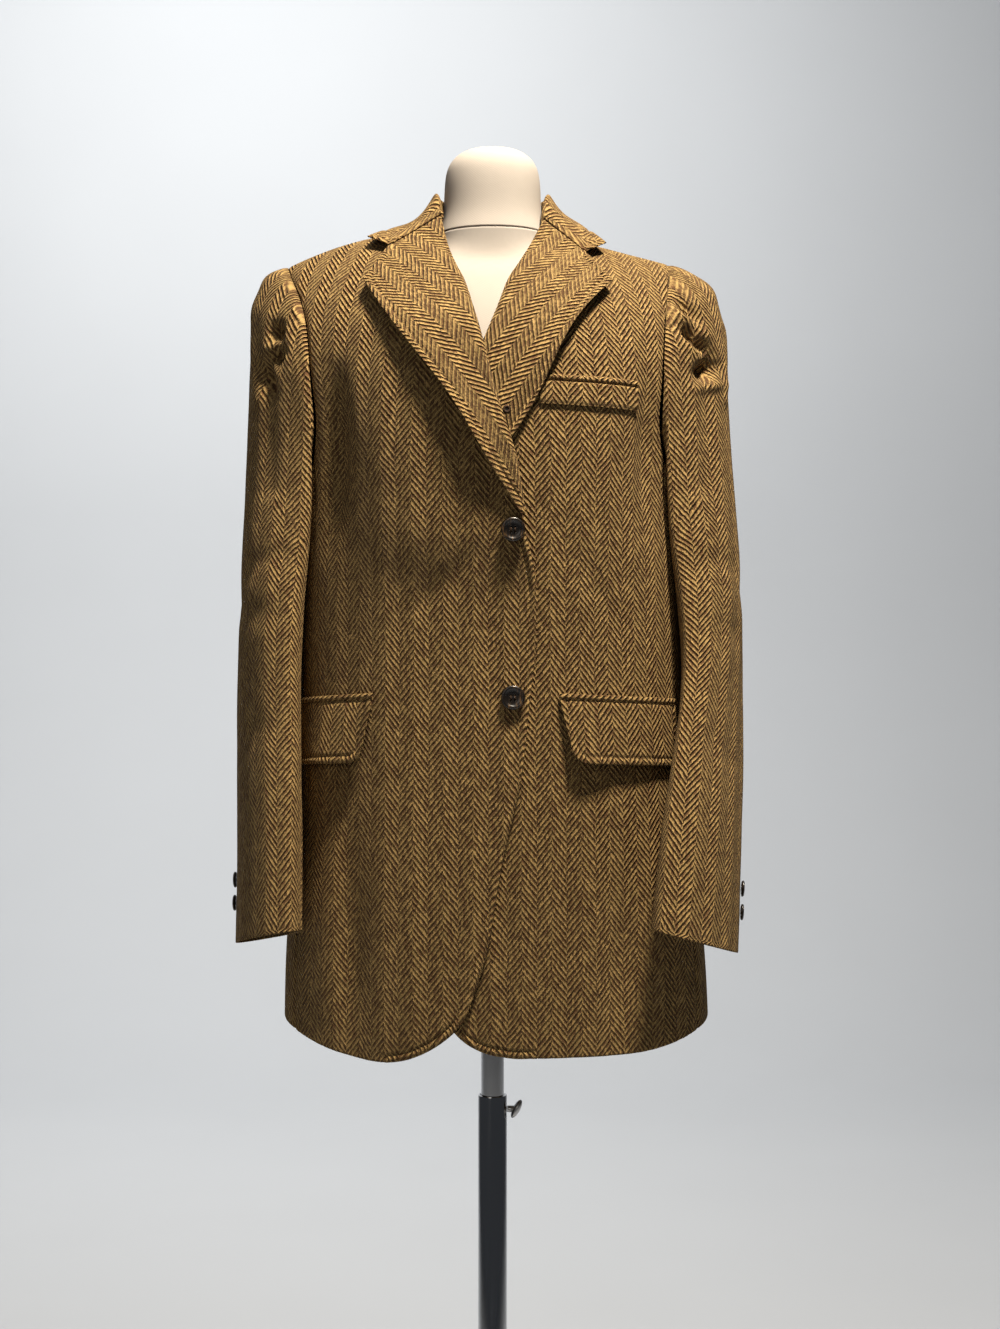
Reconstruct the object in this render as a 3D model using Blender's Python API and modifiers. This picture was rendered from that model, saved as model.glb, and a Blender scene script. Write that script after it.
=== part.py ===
"""Herringbone tweed blazer on a limbless dress form with a telescoping stand.

Metres, +Z up. The front faces -Y, the pole stands on the Z axis and the floor is z = 0.
Sides are the wearer's: the right front, which laps over the left one, is at -X.
"""
import math

import bmesh
import bpy
import numpy as np
from mathutils import Matrix, Vector

# Cloth
WALL = 0.0020
FOLD_WALL = 0.0013
SLEEVE_WALL = 0.0013
SEAM_GAP = 0.0003
SHOULDER_GAP = 0.0012

# Rings of the jacket's body, hem to shoulder ridge: reach from the pole at each level
BODY_COLUMNS = ("level", "half_width", "front", "back")
BODY_RINGS = (
    (0.690, 0.2060, 0.114, 0.124),
    (0.745, 0.2055, 0.117, 0.124),
    (0.860, 0.2000, 0.120, 0.123),
    (0.960, 0.1910, 0.121, 0.117),
    (1.060, 0.1856, 0.121, 0.107),
    (1.130, 0.1842, 0.121, 0.102),
    (1.200, 0.1808, 0.125, 0.105),
    (1.270, 0.1790, 0.129, 0.111),
    (1.340, 0.1850, 0.128, 0.115),
    (1.400, 0.1920, 0.117, 0.114),
    (1.445, 0.1970, 0.097, 0.105),
    (1.480, 0.2000, 0.070, 0.086),
    (1.505, 0.2020, 0.042, 0.060),
    (1.518, 0.2030, 0.018, 0.031),
    (1.522, 0.2035, 0.000, 0.000),
)
RING_SHAPE = 2.3
RIDGE_LEVEL = BODY_RINGS[-1][0]
SHOULDER_START = 0.030
SHOULDER_TIP = 0.190
SHOULDER_DROP = {"right": 0.034, "left": 0.037}
SHOULDER_CURVE = {"right": 2.2, "left": 1.2}
SLOPE_LEVEL = 1.270
SWAY = -0.0129
SWAY_LEVEL = 1.060

# Hem and front edges: x of each front's edge, then of its roll line above the top button
HEM_LEVEL = 0.741
HEM_DIP = {"right": 0.005, "left": 0.001}
HEM_DIP_REACH = 0.085
HEM_RISE = 0.022
HEM_RISE_FROM = 29.0
CORNER_RADIUS = {"right": 0.042, "left": 0.034}
BREAK_LEVEL = 1.232
EDGE_COLUMNS = ("level", "right_x", "left_x")
FRONT_EDGES = (
    (0.690, -0.052, -0.012),
    (0.757, -0.033, -0.034),
    (0.786, -0.021, -0.045),
    (0.838, -0.0045, -0.057),
    (0.921, 0.010, -0.068),
    (0.993, 0.026, -0.077),
    (1.064, 0.034, -0.082),
    (1.118, 0.040, -0.084),
    (1.155, 0.041, -0.084),
    (1.192, 0.039, -0.079),
    (BREAK_LEVEL, 0.032, -0.067),
    (1.294, 0.021, -0.045),
    (1.332, 0.009, -0.031),
    (1.396, -0.008, -0.008),
    (1.445, -0.022, 0.010),
    (1.480, -0.036, 0.027),
    (1.505, -0.056, 0.053),
    (RIDGE_LEVEL, -0.072, 0.070),
)
SIDE_SEAM = 0.93
BACK_SEAM = 0.88
ARMHOLE_COLUMNS = ("level", "right", "left")
ARMHOLE_LOW = 1.290
ARMHOLE = (
    (1.330, 0.1635, 0.1630),
    (1.370, 0.1655, 0.1640),
    (1.410, 0.1680, 0.1655),
    (1.445, 0.1715, 0.1680),
    (1.480, 0.1795, 0.1715),
    (1.505, 0.1880, 0.1745),
    (RIDGE_LEVEL, 0.1940, 0.1765),
)
ARMPIT_LEVEL = 1.262
NECK_BACK_LEVEL = 1.508
NECK_BACK_REACH = 0.0715

# How far the right front stands out over the left front and over the left lapel's lower end,
# and the bands of x and level across which it rises
LAP_LIFT = 0.0045
LAP_SIDE = (-0.135, -0.095)
LAP_TOP = (1.475, 1.405)
LAPEL_LAP_LIFT = 0.0050
LAPEL_LAP_SIDE = (-0.125, -0.060)
LAPEL_LAP_TOP = (1.460, 1.400)
LAPEL_LAP_FOOT = (1.160, 1.225)

# Soft troughs in the fronts: x and level of the middle, half sizes, depth
TROUGH_COLUMNS = ("side", "x", "level", "half_width", "half_height", "depth")
FRONT_TROUGHS = (
    ("right", -0.147, 1.295, 0.021, 0.100, 0.0125),
    ("left", 0.146, 1.300, 0.020, 0.090, 0.0090),
    ("right", -0.128, 0.830, 0.022, 0.115, 0.0060),
    ("left", 0.120, 0.820, 0.024, 0.100, 0.0050),
)

# Lapels: x and height of the roll's upper end, the notch, the tip and three points of the edge
LAPEL_COLUMNS = ("roll_end", "notch", "tip", "edge_high", "edge_middle", "edge_low", "edge_end")
LAPELS = {
    "right": ((-0.0490, 1.5300), (-0.0985, 1.4965), (-0.1200, 1.4580), (-0.0800, 1.3970),
              (-0.0375, 1.3410), (0.0050, 1.2690), (0.0270, 1.2320)),
    "left": ((0.0490, 1.5260), (0.0895, 1.4900), (0.1125, 1.4590), (0.0760, 1.4150),
             (0.0430, 1.3470), (-0.0140, 1.2680), (-0.0500, 1.2320)),
}
NOTCH_SHARE = 0.57
LAPEL_LIFT = 0.0042
LAPEL_EDGE_LIFT = 0.0058
ROLL_WIDTH = 0.0045
ROLL_START = 0.075
ROLL_TOP = 1.480
ROLL_ROUNDNESS = 0.6
LAPEL_FOOT_RISE = 0.004
GORGE_SHARPNESS = 6

# Collar sections, right gorge to left gorge: foot, roll and edge, with the fall's two bends
COLLAR_COLUMNS = ("foot", "roll", "edge", "dip_near", "dip_far")
COLLAR_SECTIONS = (
    ((-0.0615, -0.0140, 1.5245), (-0.0535, -0.0120, 1.5545), (-0.1080, -0.0060, 1.5185), -0.0095, -0.0040),
    ((-0.0600, 0.0150, 1.5245), (-0.0545, 0.0120, 1.5580), (-0.1000, 0.0280, 1.5175), -0.0105, -0.0030),
    ((-0.0430, 0.0470, 1.5155), (-0.0405, 0.0405, 1.5555), (-0.0660, 0.0640, 1.5060), -0.0010, 0.0020),
    ((0.0000, 0.0585, 1.5115), (0.0000, 0.0570, 1.5520), (0.0000, 0.0710, 1.5025), 0.0000, 0.0020),
    ((0.0430, 0.0470, 1.5155), (0.0405, 0.0405, 1.5550), (0.0650, 0.0640, 1.5055), -0.0010, 0.0020),
    ((0.0600, 0.0150, 1.5245), (0.0540, 0.0120, 1.5575), (0.0940, 0.0280, 1.5150), -0.0050, 0.0000),
    ((0.0615, -0.0140, 1.5230), (0.0530, -0.0120, 1.5535), (0.0985, -0.0060, 1.5165), -0.0040, -0.0005),
)
# The collar's two ends at the gorge: x and height of its corner, from there to the roll the gorge
COLLAR_KNOTS = np.array((0.0, 0.22, 0.30, 0.38, 0.58, 0.82, 1.0))
COLLAR_CORNERS = {"right": (-0.1187, 1.5080), "left": (0.1090, 1.5030)}
COLLAR_CORNER_LIFT = 0.0110
# Its roll: steps outward and down, in roll radii, to the points on each side, and the fall's bends
COLLAR_ROLL_RADIUS = 0.0034
COLLAR_ROLL_INSIDE = (-0.9, -1.4)
COLLAR_ROLL_OUTSIDE = (1.2, -1.1)
COLLAR_BENDS = (0.36, 0.74)
# Its ends: steps outward, back and up from the roll, and shares of the lapel's top they follow
GORGE_INSIDE = (-0.0028, 0.0012, -0.0045)
GORGE_FOOT = (0.0035, 0.0060, -0.0120)
GORGE_SHARES = (0.0, 0.07, 0.30, NOTCH_SHARE)
GORGE_GAP = 0.0018
# The lapels' upper ends lean against the collar: a plane's y at the roll's end and its two slopes
LEAN_LEVELS = (1.455, 1.485)
LEAN_Y = -0.034
LEAN_ACROSS = 0.181
LEAN_UP = 0.715

# Sleeve rings below the armhole: centre, reach of the outer side, depth and turn of the section
SLEEVE_COLUMNS = ("centre_x", "centre_z", "reach_x", "reach_z", "middle_y", "half_depth",
                  "turn", "cup", "lean", "own_shape")
SLEEVE_CAP = (
    (0.1960, 1.3575, 0.0080, 0.1241, 0.000, 0.0745, 1.0, 0.026, 0.00, 0.34),
    (0.2020, 1.3500, 0.0130, 0.1216, 0.000, 0.0755, 4.0, 0.028, 0.00, 0.64),
    (0.2070, 1.3375, 0.0170, 0.1125, 0.000, 0.0770, 8.0, 0.028, 0.00, 0.88),
    (0.2104, 1.3125, 0.0194, 0.0925, 0.000, 0.0770, 11.0, 0.027, 0.00, 1.00),
    (0.2120, 1.2715, 0.0212, 0.0735, -0.001, 0.0755, 13.0, 0.025, 0.00, 1.00),
    (0.2130, 1.2150, 0.0235, 0.0500, -0.006, 0.0730, 14.0, 0.020, 0.03, 1.00),
    (0.2140, 1.1350, 0.0265, 0.0300, -0.018, 0.0700, 15.0, 0.011, 0.08, 1.00),
)
SLEEVE_ARM = {
    "right": (
        (0.2165, 1.0400, 0.0265, 0.0120, -0.030, 0.0720, 18.0, 0.009, 0.15, 1.00),
        (0.2125, 0.9450, 0.0262, 0.0040, -0.056, 0.0645, 22.0, 0.002, 0.20, 1.00),
        (0.2115, 0.8460, 0.0262, -0.0020, -0.078, 0.0610, 24.0, 0.000, 0.20, 1.00),
    ),
    "left": (
        (0.2080, 1.0400, 0.0240, 0.0110, -0.054, 0.0660, 25.0, 0.004, 0.16, 1.00),
        (0.1940, 0.9450, 0.0285, 0.0030, -0.092, 0.0615, 31.0, 0.002, 0.22, 1.00),
        (0.1825, 0.8480, 0.0300, -0.0050, -0.121, 0.0595, 35.0, 0.000, 0.24, 1.00),
    ),
}
SLEEVE_SKEW = 28.0
SLEEVE_FRONT_SEAM = 142.0
SLEEVE_BACK_SEAM = -100.0

# Dents and swellings (below zero) of the empty sleeve heads: place round the sleeve and along
# it, half sizes, depth
DENT_COLUMNS = ("side", "around", "along", "half_around", "half_along", "depth")
SLEEVE_DENTS = (
    ("right", 60.0, 0.085, 15.0, 0.030, 0.0060),
    ("right", 66.0, 0.122, 12.0, 0.026, 0.0045),
    ("right", 57.0, 0.168, 14.0, 0.030, 0.0050),
    ("left", 55.0, 0.085, 15.0, 0.036, 0.0060),
    ("left", 54.0, 0.168, 17.0, 0.030, 0.0070),
    ("right", -8.0, 0.034, 40.0, 0.030, -0.0060),
    ("right", -8.0, 0.075, 40.0, 0.040, -0.0040),
    ("left", -8.0, 0.070, 40.0, 0.032, -0.0055),
    ("left", -8.0, 0.115, 40.0, 0.045, -0.0025),
)

# Pockets
FLAP_WIDTH = 0.128
FLAP_HEIGHT = 0.058
FLAP_SLANT = 0.012
FLAP_CORNER = 0.012
FLAP_LIFT = 0.0034
JET_HEIGHT = 0.0055
JET_LIFT = 0.0030
JET_CORNER = 0.0001
FLAP_COLUMNS = ("inner_x", "level", "fall")
FLAPS = {"right": (-0.1070, 1.0680, 0.0070), "left": (0.0610, 1.0680, 0.0060)}
WELT_START = 0.0440
WELT_END = 0.1350
WELT_TOP = 1.3580
WELT_HEIGHT = 0.0210
WELT_FALL = 0.0030
WELT_LIFT = 0.0030

# Buttons: front buttons on the right front, cuff buttons beside each back sleeve seam
BUTTON_X = 0.019
BUTTON_HEIGHTS = {"button_upper": 1.222, "button_lower": 1.070}
BUTTON_RADIUS = 0.0110
CUFF_BUTTON_RADIUS = 0.0076
CUFF_BUTTON_AROUND = -88.0
CUFF_BUTTON_RISE = (0.038, 0.060)
CUFF_BUTTON_PATCH = (-6.0, 0.0, 6.0)
CUFF_START = 0.80
BUTTON_STANDOFF = 0.0009
BUTTON_STEPS = 14
# A turned button's section: share of the radius, height in millimetres of a 22 mm button
MILLIMETRE = 0.001
BUTTON_PROFILE = ((0.00, 2.5), (0.60, 2.5), (0.78, 3.9), (0.90, 3.9), (1.00, 2.6), (0.94, 0.9),
                  (0.70, 0.0), (0.00, 0.0))

# Dress form
FORM_RINGS = (
    (0.8600, 0.1300, 0.075, 0.085),
    (0.8680, 0.1420, 0.083, 0.094),
    (0.9000, 0.1520, 0.090, 0.101),
    (0.9800, 0.1530, 0.096, 0.100),
    (1.0800, 0.1420, 0.096, 0.088),
    (1.1500, 0.1380, 0.097, 0.084),
    (1.2400, 0.1440, 0.106, 0.090),
    (1.3200, 0.1520, 0.110, 0.096),
    (1.3800, 0.1560, 0.101, 0.098),
    (1.4300, 0.1520, 0.084, 0.088),
    (1.4650, 0.1300, 0.067, 0.072),
    (1.4880, 0.0760, 0.054, 0.060),
    (1.5020, 0.0570, 0.0520, 0.055),
    (1.5100, 0.0542, 0.0518, 0.0530),
    (1.5150, 0.0535, 0.0518, 0.0510),
)
NECK_RINGS = (
    (1.5153, 0.0532, 0.0522, 0.0506),
    (1.5300, 0.0490, 0.0490, 0.0470),
    (1.5500, 0.0470, 0.0475, 0.0455),
    (1.5700, 0.0458, 0.0463, 0.0443),
    (1.5810, 0.0432, 0.0437, 0.0417),
    (1.5890, 0.0380, 0.0385, 0.0367),
    (1.5950, 0.0300, 0.0304, 0.0288),
    (1.5985, 0.0190, 0.0193, 0.0183),
    (1.6000, 0.0060, 0.0060, 0.0060),
)
FORM_SHAPE = 2.15
FORM_SIDES = 28
FORM_LEVELS = 17
NECK_LEVELS = 12

# Stand
TUBE_RADIUS = 0.0140
TUBE_BORE = 0.0117
TUBE_TOP = 0.682
ROD_RADIUS = 0.0112
ROD_BOTTOM = 0.345
BASE_SOCKET_FLOOR = 0.005
# The base's section: radius and height, outer rim to socket mouth
BASE_RIM = ((0.170, 0.000), (0.170, 0.004), (0.167, 0.0062), (0.060, 0.0105), (0.028, 0.0135),
            (0.023, 0.022), (0.021, 0.046))
KNOB_HEIGHT = 0.668
KNOB_SHANK_RADIUS = 0.0032
KNOB_SHANK_LENGTH = 0.0090
KNOB_WING = (0.0036, 0.0058, 0.0098)
KNOB_TILT = 28.0
ROUND_STEPS = 32

# Colours (linear), roughness and metallic value of each material
MATERIALS = {
    "tweed": ((0.22, 0.13, 0.055), 0.95, 0.0),
    "horn": ((0.020, 0.013, 0.009), 0.35, 0.0),
    "linen": ((0.78, 0.73, 0.66), 0.90, 0.0),
    "chrome": ((0.62, 0.62, 0.63), 0.16, 1.0),
    "steel": ((0.55, 0.55, 0.56), 0.30, 1.0),
}
SIGN = {"right": -1.0, "left": 1.0}

# Lines of the panels: shares across, closer together at rims and bends, degrees round a sleeve
FRONT_LINES = (0.0, 0.010, 0.030, 0.065, 0.120, 0.200, 0.310, 0.440, 0.570, 0.690, 0.800, 0.900, 0.985, 1.0)
BACK_LINES = (0.0, 0.02, 0.12, 0.28, 0.44, 0.58, 0.68, 0.75, 0.80, 0.88, 0.98, 1.0)
TOP_SLEEVE_LINES = (-98.5, -76.0, -48.0, -22.0, 0.0, 20.0, 34.0, 45.0, 56.0, 67.0, 80.0, 93.0, 103.0,
                    112.0, 120.0, 127.0, 135.0, 140.5)
UNDER_SLEEVE_LINES = (143.5, 158.0, 168.0, 180.0, 193.0, 206.0, 219.3, 228.0, 238.0, 249.0, 258.5)
SLEEVE_TRIM = 0.16
LAPEL_LINES = (0.0, 0.02, 0.05, 0.11, 0.30, NOTCH_SHARE, 0.78, 0.98, 1.0)
COLLAR_LINES = (0.0, 0.03, 0.13, 0.20, 0.25, 0.30, 0.35, 0.40, 0.48, 0.58, 0.70, 0.82, 0.97, 1.0)
FLAP_LINES = (0.0, 0.012, 0.035, 0.07, 0.11, 0.25, 0.40, 0.55, 0.70, 0.85, 0.985, 1.0)
# Even lines: how many, and the share that the strip at each rim takes
EVEN_LINES = {"side_rows": (12, 0.006), "shoulder_rows": (10, 0.012), "side_columns": (7, 0.03),
              "lapel_rows": (15, 0.006), "collar_rows": (21, 0.004), "flap_rows": (6, 0.03),
              "jet_columns": (10, 0.01), "welt_columns": (10, 0.02), "welt_rows": (5, 0.05)}
# Sleeve lines: first and last share of its length and number of lines, of the head and of the arm
SLEEVE_START = 0.0014
SLEEVE_HEAD_LINES = (0.006, 0.34, 11)
SLEEVE_ARM_LINES = (0.34, 0.996, 8)
# Points inside the body, the neck and behind the chest that panels face away from
BODY_MIDDLE = (0.0, 0.0, 1.10)
NECK_MIDDLE = (0.0, 0.0, 1.40)
BEHIND_CHEST = (0.0, 0.30, 1.36)
RIM_ANGLE = math.radians(50.0)
POCKET_ARC = math.radians(120.0)


def spline(knots, values, at):
    """Natural cubic through the knots, one column or several, read at the given places."""
    knots = np.asarray(knots, float)
    values = np.asarray(values, float)
    at = np.asarray(at, float)
    gaps = np.diff(knots)
    count = len(knots)
    system = np.eye(count)
    slopes = np.zeros_like(values)
    rates = np.diff(values, axis=0) / gaps.reshape((-1,) + (1,) * (values.ndim - 1))
    for i in range(1, count - 1):
        system[i, i - 1:i + 2] = gaps[i - 1], 2.0 * (gaps[i - 1] + gaps[i]), gaps[i]
        slopes[i] = 6.0 * (rates[i] - rates[i - 1])
    bends = np.linalg.solve(system, slopes.reshape(count, -1)).reshape(values.shape)
    i = np.clip(np.searchsorted(knots, at) - 1, 0, count - 2)
    shape = at.shape + (1,) * (values.ndim - 1)
    low = (knots[i + 1] - at).reshape(shape)
    high = (at - knots[i]).reshape(shape)
    gap = gaps[i].reshape(shape)
    return ((bends[i] * low ** 3 + bends[i + 1] * high ** 3) / (6.0 * gap)
            + (values[i] / gap - bends[i] * gap / 6.0) * low
            + (values[i + 1] / gap - bends[i + 1] * gap / 6.0) * high)


def smooth_step(low, high, at):
    share = np.clip((at - low) / (high - low), 0.0, 1.0)
    return share * share * (3.0 - 2.0 * share)


def bump(at):
    """A soft hump: 1 in the middle, about a seventh at distance 1."""
    return np.exp(-2.0 * at * at)


def steps_along(points):
    """Length from the first point to each point of a path."""
    return np.concatenate(([0.0], np.cumsum(np.linalg.norm(np.diff(points, axis=0), axis=1))))


# The body's profile as smooth curves of the run, the length of cloth up the front
RINGS = np.array(BODY_RINGS)
RING_RUNS = steps_along(RINGS[:, [0, 2]])
RUN_TOP = RING_RUNS[-1]
RUNS = np.linspace(0.0, RUN_TOP, 900)
LEVELS, HALF_WIDTHS, FRONTS, BACKS = spline(RING_RUNS, RINGS, RUNS).T
LEVELS = np.maximum.accumulate(LEVELS) + np.arange(len(LEVELS)) * 1e-9
FRONTS = np.maximum(FRONTS, 0.0)
BACKS = np.maximum(BACKS, 0.0)


def run_at(level):
    return np.interp(level, LEVELS, RUNS)


def sway(z):
    """Sideways lean of the whole garment."""
    return SWAY * (z - SWAY_LEVEL)


def shoulder_fall(x, level):
    """How far the shoulder's slope lowers a ring at this x, measured without the sway."""
    share = np.maximum(np.abs(x) - SHOULDER_START, 0.0) / (SHOULDER_TIP - SHOULDER_START)
    right = SHOULDER_DROP["right"] * share ** SHOULDER_CURVE["right"]
    left = SHOULDER_DROP["left"] * share ** SHOULDER_CURVE["left"]
    return np.where(x < 0.0, right, left) * smooth_step(SLOPE_LEVEL, RIDGE_LEVEL, level)


def ring_angle(reach, run):
    """Angle round the ring, from the centre front, of the point at this reach to the side."""
    half_width = np.interp(run, RUNS, HALF_WIDTHS)
    share = np.clip(np.abs(reach) / half_width, 0.0, 1.0)
    return np.sign(reach) * np.arcsin(share ** (RING_SHAPE / 2.0))


def ring_point(angle, run, side):
    level = np.interp(run, RUNS, LEVELS)
    half_width = np.interp(run, RUNS, HALF_WIDTHS)
    front = np.interp(run, RUNS, FRONTS)
    back = np.interp(run, RUNS, BACKS)
    sine = np.sin(angle)
    cosine = np.cos(angle)
    reach = half_width * np.sign(sine) * np.abs(sine) ** (2.0 / RING_SHAPE)
    y = np.where(cosine >= 0.0, -front, back) * np.abs(cosine) ** (2.0 / RING_SHAPE)
    x = SIGN[side] * reach
    z = level - shoulder_fall(x, level)
    return np.stack((x + sway(z), y, z), axis=-1)


def grid_normals(points, inside):
    """Unit normals of a grid of points, facing away from a point inside."""
    down = np.gradient(points, axis=0)
    across = np.gradient(points, axis=1)
    normals = np.cross(across, down)
    normals /= np.maximum(np.linalg.norm(normals, axis=-1, keepdims=True), 1e-12)
    facing = (normals * (points - np.asarray(inside))).sum()
    return normals if facing >= 0.0 else -normals


def front_y(reach, z):
    level = np.asarray(z, float)
    for _ in range(4):
        level = z + shoulder_fall(reach, level)
    front = np.interp(level, LEVELS, FRONTS)
    half_width = np.interp(level, LEVELS, HALF_WIDTHS)
    inside = np.maximum(1.0 - (np.abs(reach) / half_width) ** RING_SHAPE, 0.0)
    return -front * inside ** (1.0 / RING_SHAPE)


def front_point(x, z, lift):
    """Point at x and z, standing off the body's front by the lift, and the cloth's normal there."""
    x, z, lift = np.broadcast_arrays(np.asarray(x, float), np.asarray(z, float), np.asarray(lift, float))
    reach = x - sway(z)
    foot_x = reach.copy()
    foot_z = z.copy()
    step = 0.0005
    for _ in range(14):
        slope_x = (front_y(foot_x + step, foot_z) - front_y(foot_x - step, foot_z)) / (2.0 * step)
        slope_z = (front_y(foot_x, foot_z + step) - front_y(foot_x, foot_z - step)) / (2.0 * step)
        size = np.sqrt(1.0 + slope_x ** 2 + slope_z ** 2)
        foot_x = 0.5 * (foot_x + reach - lift * slope_x / size)
        foot_z = 0.5 * (foot_z + z - lift * slope_z / size)
    y = front_y(foot_x, foot_z) - lift / size
    normal = np.stack((slope_x, -np.ones_like(size), slope_z), axis=-1) / size[..., None]
    return np.stack((x, y, z), axis=-1), normal


def lap_lift(x, z):
    """Stand-off of the right front over the left front and over the left lapel's lower end."""
    over_front = smooth_step(*LAP_SIDE, x) * smooth_step(*LAP_TOP, z)
    over_lapel = smooth_step(*LAPEL_LAP_SIDE, x) * smooth_step(*LAPEL_LAP_TOP, z)
    over_lapel = over_lapel * smooth_step(*LAPEL_LAP_FOOT, z)
    return LAP_LIFT * over_front + LAPEL_LAP_LIFT * over_lapel


def trough_depth(side, x, z):
    total = np.zeros(np.broadcast(x, z).shape)
    for name, middle_x, level, half_width, half_height, depth in FRONT_TROUGHS:
        if name == side:
            total += depth * bump((x - middle_x) / half_width) * bump((z - level) / half_height)
    return total


def even_lines(name):
    """Shares 0 to 1 with a narrow strip at each end, so that a wall's rim stands square."""
    count, border = EVEN_LINES[name]
    return np.concatenate(([0.0], np.linspace(border, 1.0 - border, count - 2), [1.0]))


def outer_reach(level, side, seam):
    """Reach of a seam at this share of the half width, then of the armhole above it."""
    rows = np.array(ARMHOLE)
    column = 1 if side == "right" else 2
    low = seam * np.interp(ARMHOLE_LOW, LEVELS, HALF_WIDTHS)
    knots = np.concatenate(([ARMHOLE_LOW], rows[:, 0]))
    values = np.concatenate(([low], rows[:, column]))
    above = spline(knots, values, np.clip(level, ARMHOLE_LOW, RIDGE_LEVEL))
    return np.where(level < ARMHOLE_LOW, seam * np.interp(level, LEVELS, HALF_WIDTHS), above)


def hem_level(angle):
    """The hem, level in front and rising to the sides and back."""
    return HEM_LEVEL + HEM_RISE * smooth_step(math.radians(HEM_RISE_FROM), math.pi / 2.0, angle)


def front_edge_reach(side, level):
    """Reach of a front's inner edge, measured to its own side of the centre."""
    rows = np.array(FRONT_EDGES)
    column = 1 if side == "right" else 2
    x = spline(rows[:, 0], rows[:, column], level)
    return SIGN[side] * (x - sway(level))


def front_grid(side, columns, rows):
    """Outer points of a front: hem to shoulder seam, front edge and roll line to side seam."""
    share = columns[None, :]
    rise = rows[:, None]
    hem_run = run_at(HEM_LEVEL)
    first = ring_angle(front_edge_reach(side, HEM_LEVEL), hem_run)
    last = ring_angle(outer_reach(HEM_LEVEL, side, SIDE_SEAM), hem_run)
    width = np.interp(HEM_LEVEL, LEVELS, HALF_WIDTHS) * SIDE_SEAM - front_edge_reach(side, HEM_LEVEL)
    radius = CORNER_RADIUS[side]
    inset = np.clip(radius - share * width, 0.0, radius)
    corner = radius - np.sqrt(np.maximum(radius ** 2 - inset ** 2, 0.0))
    dip = HEM_DIP[side] * bump((share * width - radius) / HEM_DIP_REACH)
    low = run_at(hem_level(first + (last - first) * share) - dip + corner)
    run = low + (RUN_TOP - SHOULDER_GAP - low) * rise
    level = np.interp(run, RUNS, LEVELS)
    half_width = np.interp(run, RUNS, HALF_WIDTHS)
    tucked = ROLL_WIDTH * smooth_step(BREAK_LEVEL - ROLL_START, BREAK_LEVEL, level)
    inner = ring_angle(front_edge_reach(side, level) + tucked, run)
    outer = ring_angle(outer_reach(level, side, SIDE_SEAM), run) - SEAM_GAP / (2.0 * half_width)
    angle = inner + (outer - inner) * share
    points = ring_point(angle, run, side)
    normals = grid_normals(points, BODY_MIDDLE)
    x = points[..., 0]
    z = points[..., 2]
    stand_off = -trough_depth(side, x, z)
    if side == "right":
        stand_off = stand_off + lap_lift(x, z)
    return points + normals * stand_off[..., None]


def side_grid(side, columns, rows):
    """Outer points of the narrow panel under the arm, hem to armhole."""
    share = columns[None, :]
    top = ARMPIT_LEVEL + (ARMHOLE_LOW - ARMPIT_LEVEL) * (2.0 * share - 1.0) ** 2
    first = ring_angle(outer_reach(HEM_LEVEL, side, SIDE_SEAM), run_at(HEM_LEVEL))
    low = run_at(hem_level(first + (math.pi / 2.0 - first) * 2.0 * share))
    run = low + (run_at(top) - low) * rows[:, None]
    half_width = np.interp(run, RUNS, HALF_WIDTHS)
    trim = SEAM_GAP / (2.0 * half_width)
    inner = ring_angle(SIDE_SEAM * half_width, run) + trim
    outer = math.pi - ring_angle(BACK_SEAM * half_width, run) - trim
    return ring_point(inner + (outer - inner) * share, run, side)


def back_grid(side, columns, rows):
    """Outer points of a half back: side seam to centre seam, hem to shoulder and neck."""
    share = columns[None, :]
    armhole = ring_angle(outer_reach(RIDGE_LEVEL, side, BACK_SEAM), RUN_TOP)
    reach = HALF_WIDTHS[-1] * np.sin(armhole * (1.0 - share)) ** (2.0 / RING_SHAPE)
    neck = np.sqrt(np.maximum(1.0 - (reach / NECK_BACK_REACH) ** 2, 0.0))
    top = RIDGE_LEVEL - (RIDGE_LEVEL - NECK_BACK_LEVEL) * neck
    low = run_at(hem_level(math.pi))
    run = low + (run_at(top) - SHOULDER_GAP - low) * rows[:, None]
    level = np.interp(run, RUNS, LEVELS)
    half_width = np.interp(run, RUNS, HALF_WIDTHS)
    inner = math.pi - ring_angle(outer_reach(level, side, BACK_SEAM), run) + SEAM_GAP / (2.0 * half_width)
    outer = math.pi - ring_angle(SEAM_GAP / 2.0, run)
    return ring_point(inner + (outer - inner) * share, run, side)


def resampled(points, count):
    lengths = steps_along(points)
    at = np.linspace(0.0, lengths[-1], count)
    return np.stack([np.interp(at, lengths, points[:, k]) for k in range(3)], axis=1)


def even_loop(down, up, count):
    """A closed loop with even steps from its top to its lowest point and back up."""
    middle = count // 2
    return np.concatenate((resampled(down, middle + 1), resampled(up, count - middle)[1:]))


def armhole_loop(side, count):
    """The armhole from the shoulder seam down the front, under the arm and up the back."""
    runs = np.linspace(RUN_TOP, run_at(ARMHOLE_LOW), 60)
    levels = np.interp(runs, RUNS, LEVELS)
    front = ring_point(ring_angle(outer_reach(levels, side, SIDE_SEAM), runs), runs, side)
    back_angle = math.pi - ring_angle(outer_reach(levels, side, BACK_SEAM), runs)
    back = ring_point(back_angle, runs, side)
    under = side_grid(side, np.linspace(0.0, 1.0, 41), np.array([1.0]))[0]
    half = len(under) // 2
    down = np.concatenate((front, under[1:half + 1]))
    up = np.concatenate((under[half:-1], back[::-1]))
    return even_loop(down, up, count)


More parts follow.
